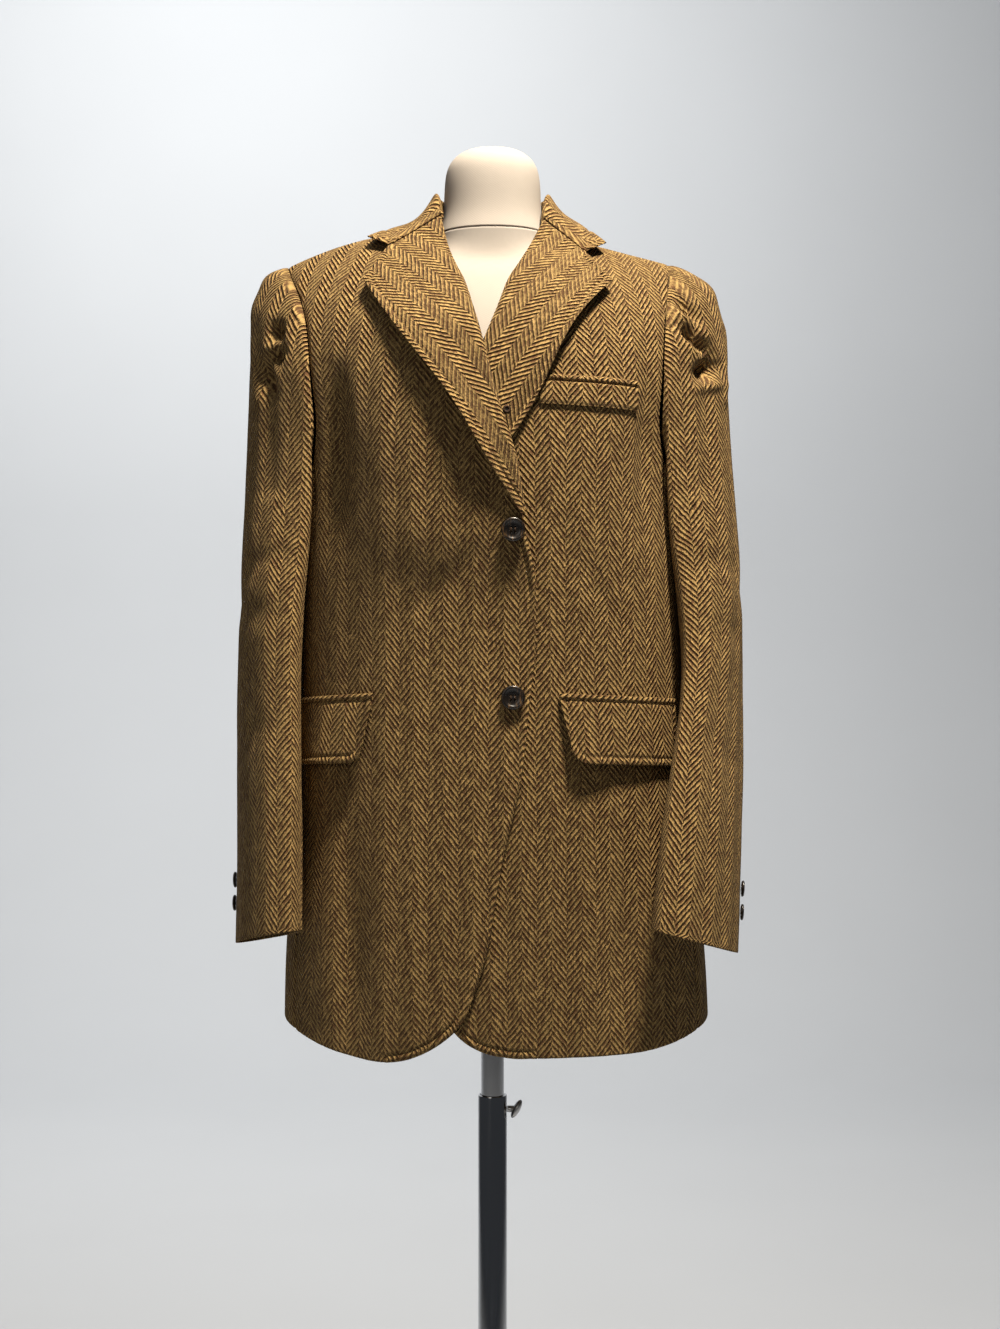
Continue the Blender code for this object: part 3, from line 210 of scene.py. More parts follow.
# Collar sections, right gorge to left gorge: foot, roll and edge, with the fall's two bends
COLLAR_SECTIONS = (
    ((-0.0615, -0.0140, 1.5245), (-0.0535, -0.0120, 1.5545), (-0.1080, -0.0060, 1.5185), -0.0095, -0.0040),
    ((-0.0600, 0.0150, 1.5245), (-0.0545, 0.0120, 1.5580), (-0.1000, 0.0280, 1.5175), -0.0105, -0.0030),
    ((-0.0430, 0.0470, 1.5155), (-0.0405, 0.0405, 1.5555), (-0.0660, 0.0640, 1.5060), -0.0010, 0.0020),
    ((0.0000, 0.0585, 1.5115), (0.0000, 0.0570, 1.5520), (0.0000, 0.0710, 1.5025), 0.0000, 0.0020),
    ((0.0430, 0.0470, 1.5155), (0.0405, 0.0405, 1.5550), (0.0650, 0.0640, 1.5055), -0.0010, 0.0020),
    ((0.0600, 0.0150, 1.5245), (0.0540, 0.0120, 1.5575), (0.0940, 0.0280, 1.5150), -0.0050, 0.0000),
    ((0.0615, -0.0140, 1.5230), (0.0530, -0.0120, 1.5535), (0.0985, -0.0060, 1.5165), -0.0040, -0.0005),
)
COLLAR_KNOTS = np.array((0.0, 0.22, 0.30, 0.38, 0.58, 0.82, 1.0))
COLLAR_CORNERS = {"right": (-0.1187, 1.5080), "left": (0.1090, 1.5030)}
COLLAR_CORNER_LIFT = 0.0110
COLLAR_ROLL_RADIUS = 0.0034
# Points beside its roll, out and up in roll radii, and the shares of the fall where it bends
COLLAR_ROLL_INSIDE = (-0.9, -1.4)
COLLAR_ROLL_OUTSIDE = (1.2, -1.1)
COLLAR_BENDS = (0.36, 0.74)
# Its ends: steps outward, back and up from the roll, and shares of the lapel's top they follow
GORGE_INSIDE = (-0.0028, 0.0012, -0.0045)
GORGE_FOOT = (0.0035, 0.0060, -0.0120)
GORGE_SHARES = (0.0, 0.07, 0.30, NOTCH_SHARE)
GORGE_GAP = 0.0018
# The lapels' upper ends lean against the collar: a plane's y at the roll's end and its two slopes
LEAN_LEVELS = (1.455, 1.485)
LEAN_Y = -0.034
LEAN_ACROSS = 0.181
LEAN_UP = 0.715

# Sleeve rings below the armhole: centre x and z, reach x and z of the outer side, middle y,
# half depth, turn in plan, cup round the body, lean, share of the ring's own shape
SLEEVE_CAP = (
    (0.1960, 1.3575, 0.0080, 0.1241, 0.000, 0.0745, 1.0, 0.026, 0.00, 0.34),
    (0.2020, 1.3500, 0.0130, 0.1216, 0.000, 0.0755, 4.0, 0.028, 0.00, 0.64),
    (0.2070, 1.3375, 0.0170, 0.1125, 0.000, 0.0770, 8.0, 0.028, 0.00, 0.88),
    (0.2104, 1.3125, 0.0194, 0.0925, 0.000, 0.0770, 11.0, 0.027, 0.00, 1.00),
    (0.2120, 1.2715, 0.0212, 0.0735, -0.001, 0.0755, 13.0, 0.025, 0.00, 1.00),
    (0.2130, 1.2150, 0.0235, 0.0500, -0.006, 0.0730, 14.0, 0.020, 0.03, 1.00),
    (0.2140, 1.1350, 0.0265, 0.0300, -0.018, 0.0700, 15.0, 0.011, 0.08, 1.00),
)
SLEEVE_ARM = {
    "right": (
        (0.2165, 1.0400, 0.0265, 0.0120, -0.030, 0.0720, 18.0, 0.009, 0.15, 1.00),
        (0.2125, 0.9450, 0.0262, 0.0040, -0.056, 0.0645, 22.0, 0.002, 0.20, 1.00),
        (0.2115, 0.8460, 0.0262, -0.0020, -0.078, 0.0610, 24.0, 0.000, 0.20, 1.00),
    ),
    "left": (
        (0.2080, 1.0400, 0.0240, 0.0110, -0.054, 0.0660, 25.0, 0.004, 0.16, 1.00),
        (0.1940, 0.9450, 0.0285, 0.0030, -0.092, 0.0615, 31.0, 0.002, 0.22, 1.00),
        (0.1825, 0.8480, 0.0300, -0.0050, -0.121, 0.0595, 35.0, 0.000, 0.24, 1.00),
    ),
}
SLEEVE_SKEW = 28.0
SLEEVE_FRONT_SEAM = 142.0
SLEEVE_BACK_SEAM = -100.0
CAP_END = 0.34
# Shares of the length where lines gather at the cuff's edge
CUFF_LINES = (0.994, 0.996, 0.9975, 0.9985, 0.9992, 0.9997, 1.0)
# Share of the length over which the cloth's unevenness starts below the armhole
HEAD_CALM = 0.03

# Dents and swellings (below zero) of the empty sleeve heads: side, place round the sleeve and
# along it, half sizes, depth
SLEEVE_DENTS = (
    ("right", 60.0, 0.085, 15.0, 0.030, 0.0060),
    ("right", 66.0, 0.122, 12.0, 0.026, 0.0045),
    ("right", 57.0, 0.168, 14.0, 0.030, 0.0050),
    ("left", 55.0, 0.085, 15.0, 0.036, 0.0060),
    ("left", 54.0, 0.168, 17.0, 0.030, 0.0070),
    ("right", -8.0, 0.034, 40.0, 0.030, -0.0060),
    ("right", -8.0, 0.075, 40.0, 0.040, -0.0040),
    ("left", -8.0, 0.070, 40.0, 0.032, -0.0055),
    ("left", -8.0, 0.115, 40.0, 0.045, -0.0025),
)
# Hollows and ridges of the empty heads: side, x and level of both ends, half width, depth
HEAD_CREASES = (
    ("right", -0.2000, 1.4220, -0.2095, 1.4090, 0.0080, 0.0095),
    ("right", -0.1990, 1.3950, -0.2110, 1.3870, 0.0080, 0.0105),
    ("right", -0.2200, 1.3860, -0.2110, 1.3530, 0.0085, 0.0105),
    ("right", -0.1950, 1.4090, -0.2150, 1.4010, 0.0050, -0.0016),
    ("left", 0.1740, 1.4450, 0.1930, 1.4320, 0.0060, 0.0110),
    ("left", 0.1755, 1.4200, 0.1960, 1.4050, 0.0070, 0.0095),
    ("left", 0.1930, 1.4080, 0.2070, 1.3960, 0.0085, 0.0090),
    ("left", 0.1930, 1.3740, 0.2150, 1.3850, 0.0100, 0.0115),
    ("left", 0.1740, 1.4370, 0.2060, 1.4130, 0.0055, -0.0030),
    ("left", 0.1790, 1.4060, 0.1960, 1.3890, 0.0055, -0.0030),
    ("left", 0.1900, 1.3590, 0.2230, 1.3690, 0.0070, -0.0030),
)
# How far round to the back these creases reach: y where they end, y where they are full
HEAD_CREASE_BACK = (0.012, -0.012)
# Folds of the sleeves: side, place round and along of both ends, half width, depth
SLEEVE_FOLDS = (
    ("right", -8.0, 0.060, 36.0, 0.210, 0.0120, -0.0022),
    ("right", 60.0, 0.200, 75.0, 0.330, 0.0160, 0.0026),
    ("right", 100.0, 0.420, 40.0, 0.470, 0.0160, 0.0020),
    ("right", 95.0, 0.520, 30.0, 0.540, 0.0180, 0.0018),
    ("right", 90.0, 0.700, 20.0, 0.730, 0.0220, 0.0014),
    ("right", -30.0, 0.120, -50.0, 0.240, 0.0140, 0.0030),
    ("right", -60.0, 0.450, -20.0, 0.520, 0.0160, 0.0022),
    ("left", -22.0, 0.100, 22.0, 0.225, 0.0120, -0.0025),
    ("left", 60.0, 0.200, 78.0, 0.330, 0.0160, 0.0030),
    ("left", 104.0, 0.430, 40.0, 0.465, 0.0160, 0.0022),
    ("left", 96.0, 0.545, 30.0, 0.560, 0.0180, 0.0018),
    ("left", 90.0, 0.720, 20.0, 0.745, 0.0220, 0.0014),
    ("left", -28.0, 0.110, -52.0, 0.230, 0.0140, 0.0030),
    ("left", -64.0, 0.440, -20.0, 0.500, 0.0160, 0.0022),
)
# How far the sleeve's top runs in under the armhole's edge, and how deep it lies there
ARMHOLE_TUCK = ((0.0060, 0.0050), (0.0012, 0.0014))
ARMHOLE_TUCK_FLAT = (0.0050, 0.0015)
# Where the cloth is laid from: level on the body, share of a sleeve's length, places round its halves
LAY_LEVEL = 1.10
LAY_SHARE = 0.55
LAY_AROUND = {"top_sleeve_": 0.0, "under_sleeve_": 200.0}
# Lines up and across of the net that lays a panel flat
NET_LINES = (44, 24)

# Pockets: inner end's x, level of the mouth, fall towards the side
FLAP_WIDTH = 0.128
FLAP_HEIGHT = 0.058
FLAP_SLANT = 0.012
FLAP_CORNER = 0.012
FLAP_LIFT = 0.0034
JET_HEIGHT = 0.0055
JET_LIFT = 0.0030
JET_CORNER = 0.0001
# How far a jet's middle swells out and its edges sink
JET_SWELL = 0.0011
JET_SINK = 0.0004
# How far the flaps' lower edges curl out, the curl's ripple (share, pace), where it eases off, how much
FLAP_CURL = 0.0050
FLAP_RIPPLE = (0.4, 9.0)
FLAP_CALM = (0.40, 0.75)
FLAP_CALM_SHARE = 0.8
POCKET_ARC = math.radians(120.0)
FLAPS = {"right": (-0.1070, 1.0680, 0.0070), "left": (0.0610, 1.0680, 0.0060)}
WELT_START = 0.0440
WELT_END = 0.1350
WELT_TOP = 1.3580
WELT_HEIGHT = 0.0210
WELT_FALL = 0.0030
# The welt's section: height above its top edge, stand-off from the front
WELT_PROFILE = ((-0.0210, 0.0030), (-0.0012, 0.0031), (-0.0003, 0.0026), (0.0004, 0.0010), (0.0014, 0.0008),
                (0.0020, 0.0018), (0.0030, 0.0027), (0.0042, 0.0029), (0.0054, 0.0024), (0.0064, 0.0012),
                (0.0068, 0.0003))

# Buttons
BUTTON_X = 0.019
BUTTON_HEIGHTS = {"button_upper": 1.222, "button_lower": 1.070}
BUTTON_RADIUS = 0.0110
CUFF_BUTTON_RADIUS = 0.0076
CUFF_BUTTON_AROUND = -88.0
CUFF_BUTTON_RISE = (0.038, 0.060)
CUFF_BUTTON_PATCH = (-6.0, 0.0, 6.0)
CUFF_START = 0.80
BUTTON_STANDOFF = 0.0009
# A button's sewing: height of the thread, of its arch, dip into the holes, strands, thickness
THREAD_TOP = 0.00255
THREAD_ARCH = 0.0005
THREAD_DIP = 0.0018
THREAD_STRANDS = (-0.00032, 0.0, 0.00032)
THREAD_RADIUS = 0.00030
MILLIMETRE = 0.001
# A turned button's section: share of the radius, height in millimetres of a 22 mm button
BUTTON_PROFILE = ((0.00, 2.35), (0.40, 2.40), (0.58, 2.60), (0.66, 3.00), (0.73, 3.60), (0.80, 3.90),
                  (0.88, 3.90), (0.95, 3.55), (1.00, 2.70), (0.99, 1.70), (0.94, 0.90), (0.70, 0.15),
                  (0.00, 0.00))

# Dress form: level, half width, reach to front and back
FORM_RINGS = (
    (0.8600, 0.1300, 0.075, 0.085),
    (0.8680, 0.1420, 0.083, 0.094),
    (0.9000, 0.1520, 0.090, 0.101),
    (0.9800, 0.1530, 0.096, 0.100),
    (1.0800, 0.1420, 0.096, 0.088),
    (1.1500, 0.1380, 0.097, 0.084),
    (1.2400, 0.1440, 0.106, 0.090),
    (1.3200, 0.1520, 0.110, 0.096),
    (1.3800, 0.1560, 0.101, 0.098),
    (1.4300, 0.1520, 0.084, 0.088),
    (1.4650, 0.1300, 0.067, 0.072),
    (1.4880, 0.0760, 0.054, 0.060),
    (1.5020, 0.0570, 0.0520, 0.055),
    (1.5100, 0.0542, 0.0518, 0.0530),
    (1.5150, 0.0535, 0.0518, 0.0510),
)
NECK_RINGS = (
    (1.5153, 0.0532, 0.0522, 0.0506),
    (1.5300, 0.0490, 0.0490, 0.0470),
    (1.5500, 0.0470, 0.0475, 0.0455),
    (1.5700, 0.0458, 0.0463, 0.0443),
    (1.5810, 0.0432, 0.0437, 0.0417),
    (1.5890, 0.0380, 0.0385, 0.0367),
    (1.5950, 0.0300, 0.0304, 0.0288),
    (1.5985, 0.0190, 0.0193, 0.0183),
    (1.6000, 0.0060, 0.0060, 0.0060),
)
FORM_SHAPE = 2.15
COVER_EDGE = 0.0012

# Sewing: middle and half width of a stitched edge's swell in insets, half width of its groove,
# depth and half width of a seam, rounding of a bare edge, step along an edge
SWELL_SHAPE = (0.50, 0.42)
GROOVE_WIDTH = 0.0019
SEAM_SINK = 0.0009
SEAM_WIDTH = 0.0035
EDGE_ROUNDING = 0.0011
EDGE_STEP = 0.0007
HEM_STITCHING = 0.085
# A stitch: half length in pitches, heights along it, thickness
STITCH_REACH = 0.30
STITCH_ARCH = np.array((-0.00025, 0.00005, 0.00012, 0.00005, -0.00025))
STITCH_RADIUS = 0.00022

# Points of a turned piece closer than this are one
WELD = 0.000002

# Pole and thumb screw, as in the solids: bore and lip of the tube, shank, its length and level
TUBE_BORE = 0.0117
TUBE_LIP = 0.0007
SHANK_RADIUS = 0.0032
SHANK_LENGTH = 0.0090
SHANK_EDGE = 0.0004
KNOB_LEVEL = 0.668
WING_HALF_SIZES = (0.0036, 0.0058, 0.0098)
WING_TILT = math.radians(28.0)
# Foot: inset from the rim and height, radius and height up the hub, the pole's socket, its edge and floor
FOOT_RIM = ((0.0015, 0.0), (0.0, 0.0012), (0.0, 0.0036), (0.0012, 0.0054), (0.0040, 0.0064))
FOOT_HUB = ((0.060, 0.0105), (0.040, 0.0118), (0.028, 0.0137), (0.0242, 0.0172), (0.023, 0.022),
            (0.0216, 0.0440), (0.0208, 0.0456))
FOOT_TOP = 0.0200
FOOT_SOCKET = 0.0143
SOCKET_EDGE = (0.0006, 0.0008)
FOOT_FLOOR = 0.005

# Studio sweep: y of its front edge and of the wall, radius of the bend, height, half width
SWEEP_FRONT = -6.0
SWEEP_WALL = 4.6
SWEEP_BEND = 1.6
SWEEP_HEIGHT = 6.0
SWEEP_HALF_WIDTH = 8.0
# Soft lights: name, place, aim, size, the setting that holds the power, colour
LIGHTS = (
    ("key_soft_box", (0.36, -0.60, 2.95), (0.0, 0.0, 1.25), 0.26, "key", "#FFF3E0"),
    ("overhead_soft_box", (-0.1, -0.35, 3.70), (0.0, 0.0, 1.10), 2.0, "overhead", "#F6F8FF"),
    ("front_fill", (-1.2, -2.9, 2.2), (0.0, 0.0, 1.10), 1.6, "fill", "#FFF8EE"),
    ("sweep_light", (-0.9, 2.0, 3.6), (-0.4, 4.6, 1.7), 3.0, "back", "#FFFDF8"),
)

SIGN = {"right": -1.0, "left": 1.0}
UP = np.array((0.0, 0.0, 1.0))
# Points that the cloth of the body, collar and lapels faces away from
BODY_MIDDLE = (0.0, 0.0, 1.10)
NECK_MIDDLE = (0.0, 0.0, 1.40)
BEHIND_CHEST = (0.0, 0.30, 1.36)


def linear(code):
    """An sRGB hex colour as linear red, green and blue."""
    parts = [int(code[i:i + 2], 16) / 255.0 for i in (1, 3, 5)]
    return tuple(c / 12.92 if c <= 0.04045 else ((c + 0.055) / 1.055) ** 2.4 for c in parts)


def length_setting(name, description, default):
    return FloatProperty(name=name, description=description, default=default, unit="LENGTH")


def colour_setting(name, description, code):
    return FloatVectorProperty(name=name, description=description, default=linear(code), subtype="COLOR")


def power_setting(name, description, default):
    return FloatProperty(name=name, description=description + ", in watts", default=default)


class BlazerCloth(bpy.types.PropertyGroup):
    """The tweed and how its edges are sewn."""

    stripe: length_setting("Stripe", "Width of one herringbone stripe", 0.0138)
    rib: length_setting("Rib rise", "Distance up the cloth from rib to rib", 0.0061)
    rib_slope: FloatProperty(name="Rib slope", description="Angle of the ribs from the weft",
                             default=math.radians(51.0), subtype="ANGLE", unit="ROTATION")
    thread: length_setting("Thread", "Distance between yarns", 0.0017)
    relief: length_setting("Relief", "Half the height of a rib", 0.0013)
    light_yarn: colour_setting("Light yarn", "Tan yarn of the ribs", "#B8965F")
    light_yarn_2: colour_setting("Second light yarn", "Greener tan in the mix", "#9B8150")
    dark_yarn: colour_setting("Dark yarn", "Brown yarn between the ribs", "#503923")
    dark_yarn_2: colour_setting("Second dark yarn", "Redder brown in the mix", "#63442A")
    wall: length_setting("Wall", "Thickness of the panels", 0.0018)
    fold_wall: length_setting("Folded wall", "Thickness of lapels, collar, flaps and sleeves", 0.0013)
    waviness: length_setting("Waviness", "Height of the cloth's soft unevenness", 0.0011)
    stitch_inset: length_setting("Stitch inset", "Stitching's distance from the edge", 0.0068)
    stitch_pitch: length_setting("Stitch pitch", "Distance from stitch to stitch", 0.0046)
    groove: length_setting("Groove", "How deep the stitching pulls the cloth in", 0.0010)
    swell: length_setting("Swelled edge", "How far the edge beyond the stitching swells", 0.0006)
    sewing: colour_setting("Sewing thread", "Brown thread of seams and buttons", "#4A3119")


class BlazerTrim(bpy.types.PropertyGroup):
    """The turned horn buttons."""

    horn: colour_setting("Horn", "Dark ground of the horn", "#17110C")
    horn_streak: colour_setting("Horn streak", "Amber streaks of the horn", "#7A5A34")
    hole_radius: length_setting("Hole", "Radius of a button's sewing holes", 0.00105)
    hole_place: length_setting("Hole place", "Holes' distance from the button's middle lines", 0.0019)
    steps: IntProperty(name="Steps", description="Facets round a button", default=72)


class DressForm(bpy.types.PropertyGroup):
    """The linen-covered form and its stand."""

    linen: colour_setting("Linen", "Cream of the cover", "#B7AEA4")
    linen_shade: colour_setting("Linen shade", "Thread shadows in the cover", "#A59C91")
    linen_thread: length_setting("Linen thread", "Distance between the cover's threads", 0.0011)
    chrome: colour_setting("Chrome", "Plating of the pole", "#C9CACC")
    steel: colour_setting("Steel", "Brushed steel of the foot", "#B9B9BA")


class StudioStage(bpy.types.PropertyGroup):
    """Floor, light and camera."""

    sweep: colour_setting("Sweep", "Pale paint of floor and backdrop", "#B9BDC3")
    key: power_setting("Key", "Power of the soft box above the front", 88.0)
    overhead: power_setting("Overhead", "Power of the wide light above", 14.0)
    fill: power_setting("Fill", "Power of the wide front light", 9.0)
    back: power_setting("Backdrop light", "Power of the light on the sweep", 165.0)
    room: FloatProperty(name="Room", description="Strength of the light from all round", default=0.05)
    eye: FloatVectorProperty(name="Camera", description="Where the camera stands",
                             default=(0.0073, -1.87, 1.10), subtype="TRANSLATION", unit="LENGTH")
    lens: FloatProperty(name="Lens", description="Focal length on a 36 mm frame, in millimetres",
                        default=1923.0 / 1329.0 * 36.0)


def spline(knots, values, at):
    """Natural cubic through the knots, one column or several, read at the given places."""
    knots = np.asarray(knots, float)
    values = np.asarray(values, float)
    at = np.asarray(at, float)
    gaps = np.diff(knots)
    count = len(knots)
    system = np.eye(count)
    slopes = np.zeros_like(values)
    rates = np.diff(values, axis=0) / gaps.reshape((-1,) + (1,) * (values.ndim - 1))
    for i in range(1, count - 1):
        system[i, i - 1:i + 2] = gaps[i - 1], 2.0 * (gaps[i - 1] + gaps[i]), gaps[i]
        slopes[i] = 6.0 * (rates[i] - rates[i - 1])
    bends = np.linalg.solve(system, slopes.reshape(count, -1)).reshape(values.shape)
    i = np.clip(np.searchsorted(knots, at) - 1, 0, count - 2)
    shape = at.shape + (1,) * (values.ndim - 1)
    low = (knots[i + 1] - at).reshape(shape)
    high = (at - knots[i]).reshape(shape)
    gap = gaps[i].reshape(shape)
    return ((bends[i] * low ** 3 + bends[i + 1] * high ** 3) / (6.0 * gap)
            + (values[i] / gap - bends[i] * gap / 6.0) * low
            + (values[i + 1] / gap - bends[i + 1] * gap / 6.0) * high)


def smooth_step(low, high, at):
    share = np.clip((at - low) / (high - low), 0.0, 1.0)
    return share * share * (3.0 - 2.0 * share)


def bump(at):
    """A soft hump: 1 in the middle, about a seventh at distance 1."""
    return np.exp(-2.0 * at * at)


def steps_along(points):
    """Length of a line of points up to each of them."""
    return np.concatenate(([0.0], np.cumsum(np.linalg.norm(np.diff(points, axis=0), axis=1))))


RINGS = np.array(BODY_RINGS)
RING_RUNS = steps_along(RINGS[:, (0, 2)])
RUN_TOP = RING_RUNS[-1]
RUNS = np.linspace(0.0, RUN_TOP, 900)
LEVELS, HALF_WIDTHS, FRONTS, BACKS = spline(RING_RUNS, RINGS, RUNS).T
LEVELS = np.maximum.accumulate(LEVELS) + np.arange(len(LEVELS)) * 1e-9
FRONTS = np.maximum(FRONTS, 0.0)
BACKS = np.maximum(BACKS, 0.0)


def run_at(level):
    """Length of cloth up the front to this level."""
    return np.interp(level, LEVELS, RUNS)


def sway(z):
    """Sideways lean of the whole garment."""
    return SWAY * (z - SWAY_LEVEL)


def shoulder_fall(x, level):
    """How far the shoulder's slope lowers a ring at this x, measured without the sway."""
    share = np.maximum(np.abs(x) - SHOULDER_START, 0.0) / (SHOULDER_TIP - SHOULDER_START)
    right = SHOULDER_DROP["right"] * share ** SHOULDER_CURVE["right"]
    left = SHOULDER_DROP["left"] * share ** SHOULDER_CURVE["left"]
    return np.where(x < 0.0, right, left) * smooth_step(SLOPE_LEVEL, RIDGE_LEVEL, level)


def ring_angle(reach, run):
    """Angle round the ring, from the centre front, of the point at this reach to the side."""
    half_width = np.interp(run, RUNS, HALF_WIDTHS)
    share = np.clip(np.abs(reach) / half_width, 0.0, 1.0)
    return np.sign(reach) * np.arcsin(share ** (RING_SHAPE / 2.0))


def ring_point(angle, run, side):
    level = np.interp(run, RUNS, LEVELS)
    half_width = np.interp(run, RUNS, HALF_WIDTHS)
    front = np.interp(run, RUNS, FRONTS)
    back = np.interp(run, RUNS, BACKS)
    sine = np.sin(angle)
    cosine = np.cos(angle)
    reach = half_width * np.sign(sine) * np.abs(sine) ** (2.0 / RING_SHAPE)
    y = np.where(cosine >= 0.0, -front, back) * np.abs(cosine) ** (2.0 / RING_SHAPE)
    x = SIGN[side] * reach
    z = level - shoulder_fall(x, level)
    return np.stack((x + sway(z), y, z), axis=-1)


def grid_normals(points, inside):
    """Unit normals of a grid of points, facing away from a point inside."""
    normals = np.cross(np.gradient(points, axis=1), np.gradient(points, axis=0))
    normals /= np.maximum(np.linalg.norm(normals, axis=-1, keepdims=True), 1e-12)
    facing = (normals * (points - np.asarray(inside))).sum()
    return normals if facing >= 0.0 else -normals


def front_y(reach, z):
    level = np.asarray(z, float)
    for _ in range(4):
        level = z + shoulder_fall(reach, level)
    front = np.interp(level, LEVELS, FRONTS)
    half_width = np.interp(level, LEVELS, HALF_WIDTHS)
    inside = np.maximum(1.0 - (np.abs(reach) / half_width) ** RING_SHAPE, 0.0)
    return -front * inside ** (1.0 / RING_SHAPE)


def front_point(x, z, lift):
    """Point at x and z, standing off the body's front by the lift, and the cloth's normal there."""
    x, z, lift = np.broadcast_arrays(np.asarray(x, float), np.asarray(z, float), np.asarray(lift, float))
    reach = x - sway(z)
    foot_x = reach.copy()
    foot_z = z.copy()
    step = 0.0005
    for _ in range(14):
        slope_x = (front_y(foot_x + step, foot_z) - front_y(foot_x - step, foot_z)) / (2.0 * step)
        slope_z = (front_y(foot_x, foot_z + step) - front_y(foot_x, foot_z - step)) / (2.0 * step)
        size = np.sqrt(1.0 + slope_x ** 2 + slope_z ** 2)
        foot_x = 0.5 * (foot_x + reach - lift * slope_x / size)
        foot_z = 0.5 * (foot_z + z - lift * slope_z / size)
    y = front_y(foot_x, foot_z) - lift / size
    normal = np.stack((slope_x, -np.ones_like(size), slope_z), axis=-1) / size[..., None]
    return np.stack((x, y, z), axis=-1), normal


def lap_lift(x, z):
    """Stand-off of the right front over the left front and over the left lapel's lower end."""
    over_front = smooth_step(*LAP_SIDE, x) * smooth_step(*LAP_TOP, z)
    over_lapel = smooth_step(*LAPEL_LAP_SIDE, x) * smooth_step(*LAPEL_LAP_TOP, z)
    over_lapel = over_lapel * smooth_step(*LAPEL_LAP_FOOT, z)
    return LAP_LIFT * over_front + LAPEL_LAP_LIFT * over_lapel


def crease_depth(across, up, from_a, from_b, to_a, to_b, half_width, depth):
    """Depth of a soft crease along a straight line in the cloth, fading out beyond its ends."""
    start = np.array((from_a, from_b))
    way = np.array((to_a, to_b)) - start
    share = ((across - start[0]) * way[0] + (up - start[1]) * way[1]) / (way @ way)
    share = np.clip(share, 0.0, 1.0)
    away = np.hypot(across - start[0] - share * way[0], up - start[1] - share * way[1])
    fade = 0.35 + 0.65 * np.sin(np.pi * share)
    return depth * fade * bump(away / half_width)


def creased(total, table, side, x, z):
    """A depth with those of one side's creases in a table added."""
    return sum((crease_depth(x, z, *crease) for name, *crease in table if name == side), total)


def front_depth(side, x, z):
    """All troughs and creases of a front at x and z."""
    total = np.zeros(np.broadcast(x, z).shape)
    for name, middle_x, level, half_width, half_height, depth in FRONT_TROUGHS:
        if name == side:
            total += depth * bump((x - middle_x) / half_width) * bump((z - level) / half_height)
    return creased(total, FRONT_CREASES, side, x, z)


def on_front(side, points, inside, lift):
    """Points of the body moved out to lie on a front with its folds, and over the lap."""
    x, z = points[..., 0], points[..., 2]
    stand_off = lift - front_depth(side, x, z)
    if side == "right":
        stand_off = stand_off + lap_lift(x, z)
    return points + grid_normals(points, inside) * stand_off[..., None]


def waves(points, height):
    """Soft unevenness of hanging cloth, longer down the cloth than across it."""
    flat = points.reshape(-1, 3)
    values = [0.7 * noise.noise(Vector((x * 15.0, y * 15.0, z * 7.0)))
              + 0.3 * noise.noise(Vector((x * 41.0, y * 41.0, z * 22.0))) for x, y, z in flat]
    return height * np.array(values).reshape(points.shape[:2])


def gathered(count, pull=0.8):
    """Shares 0 to 1 whose steps shrink towards both ends."""
    share = np.linspace(0.0, 1.0, count)
    return share - pull * np.sin(2.0 * np.pi * share) / (2.0 * np.pi)


def outer_reach(level, side, seam):
    """Reach of a seam at this share of the half width, then of the armhole above it."""
    rows = np.array(ARMHOLE)
    column = 1 if side == "right" else 2
    low = seam * np.interp(ARMHOLE_LOW, LEVELS, HALF_WIDTHS)
    knots = np.concatenate(([ARMHOLE_LOW], rows[:, 0]))
    values = np.concatenate(([low], rows[:, column]))
    above = spline(knots, values, np.clip(level, ARMHOLE_LOW, RIDGE_LEVEL))
    return np.where(level < ARMHOLE_LOW, seam * np.interp(level, LEVELS, HALF_WIDTHS), above)


def hem_level(angle):
    """The hem, level in front and rising to the sides and back."""
    return HEM_LEVEL + HEM_RISE * smooth_step(math.radians(HEM_RISE_FROM), math.pi / 2.0, angle)


def front_edge_reach(side, level):
    """Reach of a front's inner edge, measured to its own side of the centre."""
    rows = np.array(FRONT_EDGES)
    column = 1 if side == "right" else 2
    x = spline(rows[:, 0], rows[:, column], level)
    return SIGN[side] * (x - sway(level))


def front_grid(side, columns, rows):
    """Outer points of a front: hem to shoulder seam, edge to side seam."""
    share = columns[None, :]
    hem_run = run_at(HEM_LEVEL)
    first = ring_angle(front_edge_reach(side, HEM_LEVEL), hem_run)
    last = ring_angle(outer_reach(HEM_LEVEL, side, SIDE_SEAM), hem_run)
    width = np.interp(HEM_LEVEL, LEVELS, HALF_WIDTHS) * SIDE_SEAM - front_edge_reach(side, HEM_LEVEL)
    radius = CORNER_RADIUS[side]
    inset = np.clip(radius - share * width, 0.0, radius)
    corner = radius - np.sqrt(np.maximum(radius ** 2 - inset ** 2, 0.0))
    dip = HEM_DIP[side] * bump((share * width - radius) / HEM_DIP_REACH)
    low = run_at(hem_level(first + (last - first) * share) - dip + corner)
    run = low + (RUN_TOP - SHOULDER_GAP - low) * rows[:, None]
    level = np.interp(run, RUNS, LEVELS)
    half_width = np.interp(run, RUNS, HALF_WIDTHS)
    tucked = ROLL_WIDTH * smooth_step(BREAK_LEVEL - ROLL_START, BREAK_LEVEL, level)
    inner = ring_angle(front_edge_reach(side, level) + tucked, run)
    outer = ring_angle(outer_reach(level, side, SIDE_SEAM), run) - SEAM_GAP / (2.0 * half_width)
    return on_front(side, ring_point(inner + (outer - inner) * share, run, side), BODY_MIDDLE, 0.0)


